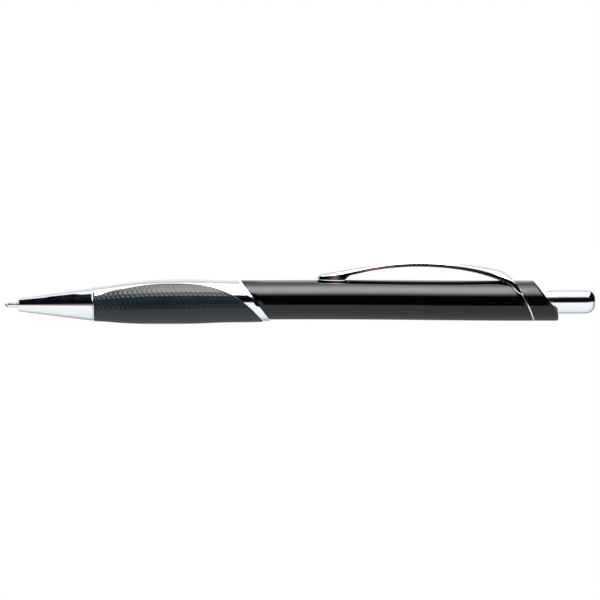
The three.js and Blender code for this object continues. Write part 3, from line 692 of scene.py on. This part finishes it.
def point_body():
    """Metal point: a stepped cone whose socket wraps the ball."""
    lip_turn = math.acos((SOCKET_LIP - BALL_RADIUS) / SOCKET_RADIUS)
    feed_turn = math.asin(POINT_FEED_RADIUS / SOCKET_RADIUS)
    socket = [
        (BALL_RADIUS + SOCKET_RADIUS * math.cos(turn), SOCKET_RADIUS * math.sin(turn), 0)
        for turn in np.linspace(feed_turn, lip_turn, SOCKET_ROWS)
    ]
    corners = [
        *POINT_CONE,
        (POINT_SHOULDER, POINT_RADIUS, STEP_ROUND),
        (POINT_SHOULDER, POINT_SHANK_RADIUS, 0),
        (POINT_END, POINT_SHANK_RADIUS, SOFT_ROUND),
        (POINT_END, POINT_FEED_RADIUS, EDGE_ROUND),
        *socket,
    ]
    return joined(turned(corners, FINE_POINTS), loop=True)


def tip_adapter():
    """Stepped plug between the metal point and the ink tube."""
    front = POINT_SHOULDER + SEAM_GAP
    collar_end = TUBE_FRONT - SEAM_GAP
    feed_front = POINT_END + SEAM_GAP
    bore = POINT_SHANK_RADIUS + FIT_GAP
    plug = TUBE_BORE_RADIUS - SEAM_GAP
    corners = [
        (front, bore, FINE_ROUND),
        (front, ADAPTER_RADIUS, SOFT_ROUND),
        (ADAPTER_STEP, ADAPTER_RADIUS, EDGE_ROUND),
        (ADAPTER_STEP, TUBE_RADIUS, STEP_ROUND),
        (collar_end, TUBE_RADIUS, EDGE_ROUND),
        (collar_end, plug, FINE_ROUND),
        (ADAPTER_END, plug, SOFT_ROUND),
        (ADAPTER_END, ADAPTER_FEED_RADIUS, EDGE_ROUND),
        (feed_front, ADAPTER_FEED_RADIUS, 0),
        (feed_front, bore, 0),
    ]
    return joined(turned(corners, FINE_POINTS), loop=True)


def refill_tube():
    """Ink tube with two ears squeezed out of its wall for the spring to push on."""
    sideways = np.abs(np.sin(angles()))
    facing = np.clip((sideways - math.cos(EAR_HALF_ANGLE)) / (1 - math.cos(EAR_HALF_ANGLE)), 0, 1)
    ear = facing**2 * (3 - 2 * facing)
    ear_end = EAR_STATION + EAR_LENGTH
    rings = turned([
        (TUBE_FRONT, TUBE_BORE_RADIUS, EDGE_ROUND),
        (TUBE_FRONT, TUBE_RADIUS, EDGE_ROUND),
        (EAR_STATION, TUBE_RADIUS, 0),
    ])
    for share in np.linspace(-1, 1, EAR_ROWS)[1:-1]:
        station = EAR_STATION + EAR_LENGTH * (1 + share) / 2
        reach = (1 - abs(share) ** EAR_SQUARENESS) * (EAR_REACH - TUBE_RADIUS)
        rings.append(ring(station, TUBE_RADIUS + reach * ear))
    rings += turned([
        (ear_end, TUBE_RADIUS, 0),
        (TUBE_END, TUBE_RADIUS, EDGE_ROUND),
        (TUBE_END, TUBE_BORE_RADIUS, EDGE_ROUND),
    ])
    return joined(rings, loop=True)


def return_spring():
    """Compression spring with a closed coil at each end."""
    start = SPRING_SEAT + SPRING_WIRE_RADIUS + SEAM_GAP
    end = EAR_STATION - SPRING_WIRE_RADIUS - SEAM_GAP
    closed = SPRING_CLOSED_TURNS * SPRING_CLOSED_PITCH
    turns = np.linspace(0, SPRING_TURNS, SPRING_TURNS * SPRING_STEPS_PER_TURN + 1)
    knots = [0, SPRING_CLOSED_TURNS, SPRING_TURNS - SPRING_CLOSED_TURNS, SPRING_TURNS]
    stations = np.interp(turns, knots, [start, start + closed, end - closed, end])
    round_wire = np.linspace(0, 2 * np.pi, SPRING_WIRE_SIDES, endpoint=False)
    rings = []
    for turn, station in zip(turns, stations):
        radius = SPRING_RADIUS + SPRING_WIRE_RADIUS * np.cos(round_wire)
        angle = 2 * np.pi * turn
        along = station + SPRING_WIRE_RADIUS * np.sin(round_wire)
        rings.append(np.column_stack([along, radius * math.cos(angle), radius * math.sin(angle)]))
    ends = [r.mean(axis=0, keepdims=True) for r in (rings[0], rings[-1])]
    return joined([ends[0], *rings, ends[1]])


def thread_rings(start, end, height):
    """Rings through a thread, right-handed about +X.

    height(ridge, fade) is the radius for a ridge of 0 to 1, where fade falls to 0 at both ends.
    """
    rows = round((end - start) / THREAD_PITCH * THREAD_ROWS_PER_TURN)
    turn = np.pi / 2 - angles()
    rings = []
    for station in np.linspace(start, end, rows + 1):
        ridge = 0.5 + 0.5 * np.cos(2 * np.pi * station / THREAD_PITCH - turn)
        fade = np.clip(min(station - start, end - station) / THREAD_FADE, 0, 1)
        rings.append(ring(station, height(ridge, fade)))
    return rings


def nose_cone():
    """Plated cone with the hole for the point, the spring's bore, and a threaded spigot."""
    outside = turned([
        (SPRING_SEAT, NOSE_HOLE_RADIUS, 0),
        (NOSE_FRONT, NOSE_HOLE_RADIUS, EDGE_ROUND),
        (NOSE_FRONT, NOSE_FRONT_RADIUS, NOSE_FRONT_ROUND),
        (NOSE_END, NOSE_END_RADIUS, NOSE_END_ROUND),
        (NOSE_END, THREAD_ROOT_RADIUS, 0),
    ])
    thread = thread_rings(
        THREAD_START, THREAD_END, lambda ridge, fade: THREAD_ROOT_RADIUS + THREAD_DEPTH * ridge * fade
    )
    inside = turned([
        (SPIGOT_END, THREAD_ROOT_RADIUS, 0),
        (SPIGOT_END, SPRING_BORE_RADIUS, EDGE_ROUND),
        (SPRING_SEAT, SPRING_BORE_RADIUS, 0),
    ])
    return joined(outside + thread + inside, loop=True)


# ----------------------------------------------------------
# Grip
# ----------------------------------------------------------


def grip_core():
    """Plated core: the visible grip body, a spigot into the barrel, and the threaded bore."""
    rear = shifted(barrel_front, -SEAM_GAP)
    outside = outer_wall(steady(GRIP_FRONT), rear, grip_radius, grip_rise, SEAM_ROUND, GRIP_ROWS)
    spigot_radius = steady(CORE_SPIGOT_RADIUS)
    spigot_start = meet(rear, spigot_radius, barrel_rise)
    spigot = wall(spigot_start, CORE_END, spigot_radius, barrel_rise, CORE_SPIGOT_ROWS)
    open_radius = THREAD_ROOT_RADIUS + THREAD_CLEARANCE + THREAD_DEPTH
    end = CORE_BORE_FRONT - THREAD_CLEARANCE
    socket = thread_rings(
        THREAD_START, end, lambda ridge, fade: open_radius - THREAD_DEPTH * (1 - ridge) * fade
    )
    bore = [ring(CORE_END, CORE_BORE_RADIUS), ring(CORE_BORE_FRONT, CORE_BORE_RADIUS)]
    mouth = [ring(CORE_BORE_FRONT, open_radius), *socket[::-1], ring(GRIP_FRONT, open_radius)]
    return joined(outside + spigot + bore + mouth, loop=True)


def dimple_depth(station, around):
    """Depth of the staggered dimples at a station and a distance round the sleeve."""
    row = np.round(around / DIMPLE_ROW_PITCH)
    shift = (row % 2) * DIMPLE_PITCH / 2
    along = station - shift - DIMPLE_PITCH * np.round((station - shift) / DIMPLE_PITCH)
    across = around - row * DIMPLE_ROW_PITCH
    inside = np.clip(1 - (along**2 + across**2) / DIMPLE_RADIUS**2, 0, 1)
    return DIMPLE_DEPTH * inside


def from_edge(length, count):
    """Distances from an edge as far as a length: close together at the edge, then even."""
    close = np.array(EDGE_STEPS) * min(1, length / (2 * EDGE_STEPS[-1]))
    return np.concatenate([close, np.linspace(close[-1], length, count - len(close) + 1)[1:]])


def sleeve_half_angle(station):
    """Half the angle that the sleeve covers, measured from the bottom of the grip."""
    outside = grip_radius(station) + sleeve_thickness(station)
    share = (sleeve_upper_edge(station) - grip_rise(station)) / outside
    return np.pi - np.arccos(np.clip(share, -SLEEVE_POINT_COSINE, SLEEVE_POINT_COSINE))


def grip_sleeve():
    """Rubber sleeve: a dimpled skin on the core, open on the clip side along its curved upper edge.

    Each ring runs over the outside from one upper edge to the other, and back along the inside.
    """
    stations = SLEEVE_FRONT + from_edge(SLEEVE_END - SLEEVE_FRONT, SLEEVE_ROWS)
    half_angles = sleeve_half_angle(stations)
    outsides = grip_radius(stations) + sleeve_thickness(stations)
    slants = np.hypot(1, outsides * np.gradient(half_angles, stations))
    rings = []
    for station, half_angle, outside, slant in zip(stations, half_angles, outsides, slants):
        in_from_edge = from_edge(half_angle * outside, SLEEVE_COLUMNS)
        in_from_edge = np.concatenate([in_from_edge, in_from_edge[-2::-1]])
        turn = half_angle - in_from_edge / outside
        turn[SLEEVE_COLUMNS:] *= -1
        margin = np.minimum(in_from_edge / slant, station - SLEEVE_FRONT)
        short = np.clip(SLEEVE_ROUND - margin, 0, None)
        drop = SLEEVE_ROUND - np.sqrt(SLEEVE_ROUND**2 - short**2)
        printed = np.clip((margin - DIMPLE_MARGIN[0]) / (DIMPLE_MARGIN[1] - DIMPLE_MARGIN[0]), 0, 1)
        radius = outside - drop - printed * dimple_depth(station, turn * SLEEVE_NOMINAL_RADIUS)
        inner = np.full(len(turn), grip_radius(station) + FIT_GAP)
        radius = np.maximum(radius, inner + FIT_GAP)
        turns = np.concatenate([turn, turn[::-1]])
        radii = np.concatenate([radius, inner])
        heights = grip_rise(station) - radii * np.cos(turns)
        rings.append(np.column_stack([np.full(len(turns), station), radii * np.sin(turns), heights]))
    return folded_ends(joined(rings), 2 * SLEEVE_COLUMNS - 1)


# ----------------------------------------------------------
# Barrel, clip and end cap
# ----------------------------------------------------------


def barrel():
    """Hollow barrel, slanted in front and curved behind, where the clip's ring lies."""
    rear = shifted(ring_rear, -RING_THICKNESS - SEAM_GAP)
    outside = outer_wall(barrel_front, rear, barrel_radius, barrel_rise, BARREL_EDGE_ROUND, BARREL_ROWS)
    bore = steady(BARREL_BORE_RADIUS)
    rear_bore = steady(BARREL_REAR_BORE_RADIUS)
    rear_end = meet(rear, rear_bore, barrel_rise)
    front_end = meet(barrel_front, bore, barrel_rise)
    inside = wall(rear_end, BARREL_REAR_BORE_FRONT, rear_bore, barrel_rise, BORE_ROWS)
    inside += wall(BARREL_REAR_BORE_FRONT, front_end, bore, barrel_rise, BORE_ROWS)
    return joined(outside + inside, loop=True)


def clip_ring():
    """The curved disc between barrel and end cap."""
    front = shifted(ring_rear, -RING_THICKNESS)
    rear = shifted(ring_rear, -SEAM_GAP / 2)
    radius = shifted(barrel_radius, RING_PROUD)
    outside = outer_wall(front, rear, radius, barrel_rise, RING_EDGE_ROUND, 1)
    inside = []
    for edge in (rear, front):
        station = meet(edge, steady(RING_HOLE_RADIUS), barrel_rise)
        inside.append(ring(station, RING_HOLE_RADIUS, barrel_rise(station)))
    return joined(outside + inside, loop=True)


def clip_rows():
    """The sections of arm and root in one form, from the tip back. The arm's stand square to the pen."""
    rows = []
    for station, top, edge, under in CLIP_ARM:
        width = float(clip_half_width(station))
        bevel = float(clip_bevel(station))
        heel_width = width + float(clip_lean(station)) * (edge - under - bevel)
        heel = (station, heel_width, under + bevel)
        rim = (station, heel_width - CLIP_BEVEL_SLOPE * bevel, under)
        rows.append((station, width, edge, station, top, *heel, *rim, max(under, CLIP_FOOT_CLEAR)))
    return rows + list(CLIP_ROOT)


def arc_fall(shares, reach):
    """Fall of an arc at shares of its half width, from 0 to 1. Reach is its half width by its radius."""
    return (1 - np.sqrt(1 - (reach * shares) ** 2)) / (1 - math.sqrt(1 - reach**2))


def clip_section(edge, top, heel, rim, under):
    """One closed section of the clip, seen along the pen: crown, side, bevel and underside."""
    outwards = np.linspace(0, 1, CLIP_CROWN_POINTS, endpoint=False)
    crown = [
        (top[0] + (edge[0] - top[0]) * fall, edge[1] * share, top[1] + (edge[2] - top[1]) * fall)
        for share, fall in zip(outwards, arc_fall(outwards, CLIP_CROWN_OVAL))
    ]
    inwards = np.linspace(1, 0, CLIP_UNDER_POINTS + 1)[1:]
    underside = [
        (top[0] + (rim[0] - top[0]) * share**2, rim[1] * share, under + (rim[2] - under) * fall)
        for share, fall in zip(inwards, arc_fall(inwards, rim[1] / CLIP_SADDLE_RADIUS))
    ]
    corners = [*crown, edge, heel, rim, *underside]
    cuts = [0] * len(crown) + CLIP_CORNER_CUTS + [0] * len(underside)
    half = np.array(bent(corners, cuts))
    mirrored = half[-2:0:-1] * (1, -1, 1)
    return np.vstack([half, mirrored])


def clip_body():
    """Arm and root of the clip in one closed skin, lofted through its sections."""
    rows = clip_rows()
    where = [row[0] for row in rows]
    columns = [smooth(list(zip(where, column))) for column in zip(*rows)]
    stations = np.concatenate([
        np.linspace(where[0], CLIP_TIP_END, CLIP_TIP_SECTIONS, endpoint=False),
        np.linspace(CLIP_TIP_END, CLIP_ROOT[0][0], CLIP_ARM_SECTIONS, endpoint=False),
        np.linspace(CLIP_ROOT[0][0], where[-1], CLIP_ROOT_SECTIONS),
    ])
    sections = []
    for station in stations:
        values = [float(column(station)) for column in columns]
        edge = (station, *values[1:3])
        sections.append(clip_section(edge, values[3:5], values[5:8], values[8:11], values[11]))
    points, faces = joined(sections)
    count = len(sections[0])
    faces.append(tuple(range(count)))
    faces.append(tuple(range(len(points) - count, len(points)))[::-1])
    return points, faces


def cap_face(outer):
    """Rings over the end cap's rear face and round the lip of its bore, from an outer ring inwards."""
    bore = ring(0, CAP_BORE_RADIUS + CAP_BORE_ROUND)
    rings = []
    for share in np.linspace(0, 1, CAP_FACE_ROWS)[1:]:
        row = outer * (1 - share) + bore * share
        row[:, 0] = cap_rear(row[:, 2])
        rings.append(row)
    for turn in np.linspace(0, np.pi / 2, CORNER_STEPS)[1:]:
        row = ring(0, CAP_BORE_RADIUS + CAP_BORE_ROUND * (1 - math.sin(turn)))
        row[:, 0] = cap_rear(row[:, 2]) - CAP_BORE_ROUND * (1 - math.cos(turn))
        rings.append(row)
    return rings


def end_cap():
    """End cap: closes the barrel behind the ring and guides the button."""
    front = shifted(ring_rear, SEAM_GAP / 2)
    front_edge = rounded_edge(front, 1, barrel_radius, barrel_rise, SEAM_ROUND)
    rear_edge = rounded_edge(cap_rear, -1, barrel_radius, barrel_rise, CAP_EDGE_ROUND)[::-1]
    between = wall(front_edge[-1][:, 0], rear_edge[0][:, 0], barrel_radius, barrel_rise, CAP_ROWS)
    outside = front_edge + between[1:-1] + rear_edge
    mouth = meet(front, steady(CAP_COUNTERBORE_RADIUS), barrel_rise)
    floor = np.maximum(CAP_COUNTERBORE_END, mouth + SEAM_GAP)
    inside = [
        ring(floor, CAP_BORE_RADIUS),
        ring(floor, CAP_COUNTERBORE_RADIUS, barrel_rise(floor)),
        ring(mouth, CAP_COUNTERBORE_RADIUS, barrel_rise(mouth)),
    ]
    return joined(outside + cap_face(rear_edge[-1]) + inside, loop=True)


def push_button():
    """Plated button: a tube with a domed, slightly flattened end."""
    crown_radius = BUTTON_RADIUS - BUTTON_FLAT_RADIUS
    crown = []
    for turn in np.linspace(0, np.pi / 2, BUTTON_CROWN_STEPS):
        station = PEN_LENGTH - BUTTON_CROWN_LENGTH * (1 - math.sin(turn))
        crown.append((station, BUTTON_FLAT_RADIUS + crown_radius * math.cos(turn), 0))
    return joined(turned([
        (BUTTON_BORE_END, 0, 0),
        (BUTTON_BORE_END, BUTTON_BORE_RADIUS, BUTTON_BORE_ROUND),
        (BUTTON_FRONT, BUTTON_BORE_RADIUS, EDGE_ROUND),
        (BUTTON_FRONT, BUTTON_RADIUS, BUTTON_EDGE_ROUND),
        *crown,
        (PEN_LENGTH, 0, 0),
    ]))


# ----------------------------------------------------------
# The pen
# ----------------------------------------------------------

plated = chrome()
black = gloss_black()
white = white_plastic()
grey = grey_plastic()

add_piece("ball_surface", [writing_ball()], carbide(), ["writing_ball"], "ball")
add_piece("point_surface", [point_body()], brass(), ["point_body"], "refill")
add_piece("adapter_surface", [tip_adapter()], white, ["tip_adapter"], "refill")
add_piece("tube_surface", [refill_tube()], clear_tube(), ["refill_tube"], "refill")
add_piece("nose_surface", [nose_cone()], plated, ["nose_cone"], "nose")
add_piece("grip_core_surface", [grip_core()], plated, ["grip_core"], "barrel")
add_piece("grip_sleeve_surface", [grip_sleeve()], rubber(), ["grip_sleeve"], "barrel")
add_piece("barrel_surface", [barrel()], black, ["barrel"], "barrel")
add_piece("end_cap_surface", [end_cap()], black, ["end_cap"], "barrel")
add_piece("button_surface", [push_button()], plated, ["push_button"], "button")

spring = add_piece("spring_surface", [return_spring()], spring_steel(), ["return_spring"])
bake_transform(spring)
clip = add_piece("clip_surface", [clip_body(), clip_ring()], plated, ["clip_arm", "clip_ring"])
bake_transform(clip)

CARRIED_OVER = {
    "ink_column": ink(),
    "cam_housing": grey,
    "cam_rotor": white,
    "thrust_cam": grey,
}
for node, material in CARRIED_OVER.items():
    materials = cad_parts[node].data.materials
    materials.clear()
    materials.append(material)

# ----------------------------------------------------------
# Studio, in metres: white room, pale floor, soft light, rim light
# and dark flags. Elevations are in degrees: 0 is the horizon on the
# camera's side, 90 is overhead, 180 is the horizon behind the pen.
# ----------------------------------------------------------

FLOOR_DROP = 0.06
FLOOR_FRONT = 0.32
FLOOR_BACK = 6.0
FLOOR_HALF_WIDTH = 5.0

# Colour of the room by elevation. The floor hides all below -10.
ROOM = (
    (-180, (0.8, 0.8, 0.8)),
    (-12, (0.75, 0.76, 0.76)),
    (-9, (0.45, 0.42, 0.42)),
    (-5, (0.31, 0.21, 0.22)),
    (0, (0.23, 0.13, 0.14)),
    (5, (0.06, 0.03, 0.035)),
    (9, (0.0015, 0.003, 0.006)),
    (40, (0.0025, 0.0055, 0.0105)),
    (54, (1, 1, 1)),
    (117, (1, 1, 1)),
    (121, (0.5, 0.53, 0.55)),
    (129, (0.42, 0.45, 0.47)),
    (133, (0.8, 0.82, 0.84)),
    (150, (0.8, 0.83, 0.86)),
    (165, (0.6, 0.64, 0.68)),
    (180, (0.42, 0.47, 0.52)),
)
ROOM_STRENGTH = 1.15
# Colour of the floor by elevation, seen from the pen
FLOOR_GLOW = (
    (-179, (0.38, 0.39, 0.41)),
    (-140, (0.42, 0.43, 0.45)),
    (-130, (0.45, 0.47, 0.49)),
    (-123, (0.6, 0.62, 0.64)),
    (-114, (0.74, 0.77, 0.79)),
    (-104, (0.82, 0.85, 0.88)),
    (-85, (0.9, 0.94, 0.97)),
    (-30, (0.96, 1, 1)),
    (-12, (1, 1, 1)),
)
FLOOR_STRENGTH = 1.08
# Brightness of the soft light by elevation, and its ends in x
SOFT_LIGHT = (
    (21, 0), (26, 0.4), (32, 2.3), (38, 5), (44, 7.6), (50.5, 9.2), (57, 10), (63.5, 10.2), (70.5, 9.5),
    (77.5, 7.7), (85, 5.4), (93, 3.2), (102, 1.8), (111, 1.2),
)
SOFT_LIGHT_REACH = (-0.165, -0.002)
# A dimmer light behind the pen, for the barrel's top edge
RIM_LIGHT = ((111, 1.2), (122, 1.9), (150, 1.9), (160, 1.4))
RIM_LIGHT_REACH = (-0.083, 0.0)
LIGHT_DISTANCE = 0.25
FLAG_COLOUR = (0.0015, 0.0035, 0.0065, 1)
FLAG_DISTANCE = 0.08
# Dark flags: name, elevations from and to, and stations of the front and the rear end at those two
FLAGS = (
    ("barrel_flag", (-29, 5), (60.4, 59.4), (136.5, 136.5)),
    ("core_flag", (-6, 34), (1, 1), (59.8, 58.4)),
    ("rubber_flag", (-37, -6), (2, 2), (50, 50)),
    ("nose_flag", (9, 82), (-60, -60), (-2.9, 3)),
    ("nose_tip_flag", (82, 98), (-60, -60), (3, -16)),
    ("button_flag", (-5, 12), (137.5, 137.5), (190, 190)),
    ("point_flag", (30, 100), (-7, -7), (0.8, 0.8)),
)
# A flat dark flag beyond the button, for its dome
END_FLAG_X = 0.12
END_FLAG_Y = (-0.15, 0.4)
END_FLAG_Z = (0.0, 0.17)
CARD_STEPS = 48


def elevation_value(tree, vector):
    """Elevation of a direction round the pen, 0 to 1 for -180 to 180 degrees."""
    split = tree.nodes.new("ShaderNodeSeparateXYZ")
    tree.links.new(vector, split.inputs["Vector"])
    front = tree.nodes.new("ShaderNodeMath")
    front.operation = "MULTIPLY"
    front.inputs[1].default_value = -1.0
    tree.links.new(split.outputs["Y"], front.inputs[0])
    angle = tree.nodes.new("ShaderNodeMath")
    angle.operation = "ARCTAN2"
    tree.links.new(split.outputs["Z"], angle.inputs[0])
    tree.links.new(front.outputs["Value"], angle.inputs[1])
    share = tree.nodes.new("ShaderNodeMath")
    share.operation = "MULTIPLY_ADD"
    share.inputs[1].default_value = 0.5 / math.pi
    share.inputs[2].default_value = 0.5
    tree.links.new(angle.outputs["Value"], share.inputs[0])
    return share.outputs["Value"]


def elevation_ramp(tree, vector, stops):
    """Colour by elevation through (degrees, colour) stops."""
    ramp = tree.nodes.new("ShaderNodeValToRGB")
    elements = ramp.color_ramp.elements
    while len(elements) < len(stops):
        elements.new(0.5)
    for element, (degrees, colour) in zip(elements, stops):
        element.position = degrees / 360 + 0.5
        element.color = (*colour, 1.0)
    tree.links.new(elevation_value(tree, vector), ramp.inputs["Fac"])
    return ramp.outputs["Color"]


def camera_or(tree, colour, seen):
    """The colour, except that the camera itself sees a plain brightness."""
    path = tree.nodes.new("ShaderNodeLightPath")
    mix = tree.nodes.new("ShaderNodeMix")
    mix.data_type = "RGBA"
    tree.links.new(path.outputs["Is Camera Ray"], mix.inputs["Factor"])
    tree.links.new(colour, mix.inputs["A"])
    mix.inputs["B"].default_value = (seen, seen, seen, 1.0)
    return mix.outputs["Result"]


def make_room():
    """The glowing room that the pen reflects, plain white to the camera."""
    world = bpy.data.worlds.new("room")
    world.use_nodes = True
    tree = world.node_tree
    place = tree.nodes.new("ShaderNodeTexCoord")
    colour = elevation_ramp(tree, place.outputs["Generated"], ROOM)
    background = tree.nodes["Background"]
    background.inputs["Strength"].default_value = ROOM_STRENGTH
    tree.links.new(camera_or(tree, colour, 1 / ROOM_STRENGTH), background.inputs["Color"])
    bpy.context.scene.world = world


def glow_material(name):
    """A material that only glows, and the inputs that take its colour and its strength."""
    material = bpy.data.materials.new(name)
    material.use_nodes = True
    tree = material.node_tree
    tree.nodes.remove(tree.nodes["Principled BSDF"])
    glow = tree.nodes.new("ShaderNodeEmission")
    tree.links.new(glow.outputs["Emission"], tree.nodes["Material Output"].inputs["Surface"])
    return material, glow.inputs["Color"], glow.inputs["Strength"]


def add_stage(name, points, faces, material):
    """A studio object, which isn't part of the pen."""
    mesh = bpy.data.meshes.new(name)
    mesh.from_pydata(points, [], faces)
    mesh.materials.append(material)
    thing = bpy.data.objects.new(name, mesh)
    bpy.context.scene.collection.objects.link(thing)
    return thing


def make_floor():
    """A level floor that glows by elevation, plain white to the camera."""
    material, colour, strength = glow_material("floor_white")
    tree = material.node_tree
    place = tree.nodes.new("ShaderNodeNewGeometry")
    glow = elevation_ramp(tree, place.outputs["Position"], FLOOR_GLOW)
    tree.links.new(camera_or(tree, glow, 1 / FLOOR_STRENGTH), colour)
    strength.default_value = FLOOR_STRENGTH
    corners = [
        (-FLOOR_HALF_WIDTH, -FLOOR_FRONT, -FLOOR_DROP),
        (FLOOR_HALF_WIDTH, -FLOOR_FRONT, -FLOOR_DROP),
        (FLOOR_HALF_WIDTH, FLOOR_BACK, -FLOOR_DROP),
        (-FLOOR_HALF_WIDTH, FLOOR_BACK, -FLOOR_DROP),
    ]
    add_stage("floor", corners, [(0, 1, 2, 3)], material)


def hide_card(card):
    """Cards shape the reflections only: the camera never sees them and they cast no shadow."""
    card.visible_camera = False
    card.visible_shadow = False


def add_card(name, elevations, left, right, material, distance):
    """A card bent round the pen's axis. Left and right are its ends in x at the two elevations."""
    points = []
    for share in np.linspace(0, 1, CARD_STEPS + 1):
        turn = math.radians(elevations[0] + (elevations[1] - elevations[0]) * share)
        y = -distance * math.cos(turn)
        z = distance * math.sin(turn)
        points += [(first + (last - first) * share, y, z) for first, last in (left, right)]
    faces = [(2 * i, 2 * i + 1, 2 * i + 3, 2 * i + 2) for i in range(CARD_STEPS)]
    card = add_stage(name, points, faces, material)
    hide_card(card)
    return card


def add_light(name, brightness, reach):
    """A glowing card whose brightness goes by (elevation, brightness) stops."""
    light, colour, strength = glow_material(name)
    tree = light.node_tree
    place = tree.nodes.new("ShaderNodeNewGeometry")
    peak = max(value for _, value in brightness)
    stops = [(degrees, (value / peak,) * 3) for degrees, value in brightness]
    tree.links.new(elevation_ramp(tree, place.outputs["Position"], stops), colour)
    strength.default_value = peak
    left, right = [(end, end) for end in reach]
    return add_card(name, (brightness[0][0], brightness[-1][0]), left, right, light, LIGHT_DISTANCE)


def add_flag(name, elevations, front, rear, material):
    """A bent flag with its ends at the given stations. It shows in reflections, not in matt shading."""
    left, right = [tuple(x_of(station) for station in ends) for ends in (front, rear)]
    add_card(name, elevations, left, right, material, FLAG_DISTANCE).visible_diffuse = False


def add_end_flag(material):
    """The flat flag beyond the button."""
    near, far = END_FLAG_Y
    low, high = END_FLAG_Z
    corners = [(END_FLAG_X, y, z) for y, z in ((near, low), (far, low), (far, high), (near, high))]
    flag = add_stage("end_flag", corners, [(0, 1, 2, 3)], material)
    hide_card(flag)
    flag.visible_diffuse = False


def make_flags():
    """All dark flags, in one nearly black material."""
    material, colour, strength = glow_material("flag_dark")
    colour.default_value = FLAG_COLOUR
    strength.default_value = 1
    for name, elevations, front, rear in FLAGS:
        add_flag(name, elevations, front, rear, material)
    add_end_flag(material)


make_room()
make_floor()
add_light("soft_light", SOFT_LIGHT, SOFT_LIGHT_REACH)
add_light("rim_light", RIM_LIGHT, RIM_LIGHT_REACH).visible_diffuse = False
make_flags()

# ----------------------------------------------------------
# Camera
# ----------------------------------------------------------

FRAME_WIDTH = 0.1444
# The view is centred on the middle of the pen's length, a little above its axis
FRAME_CENTRE_X = x_of(PEN_LENGTH / 2)
FRAME_CENTRE_Z = 0.79 * MM
ROLL = math.radians(0.32)
LENS = 400.0
SENSOR = 36.0
VIEW_LIMIT = 50.0

camera_data = bpy.data.cameras.new("camera")
camera_data.lens = LENS
camera_data.sensor_width = SENSOR
camera_data.clip_end = VIEW_LIMIT
camera = bpy.data.objects.new("camera", camera_data)
bpy.context.scene.collection.objects.link(camera)
distance = FRAME_WIDTH * LENS / SENSOR
camera.matrix_world = (
    Matrix.Translation((FRAME_CENTRE_X, -distance, FRAME_CENTRE_Z))
    @ Matrix.Rotation(ROLL, 4, "Y")
    @ Matrix.Rotation(math.pi / 2, 4, "X")
)
bpy.context.scene.camera = camera
bpy.context.scene.view_settings.view_transform = "Standard"
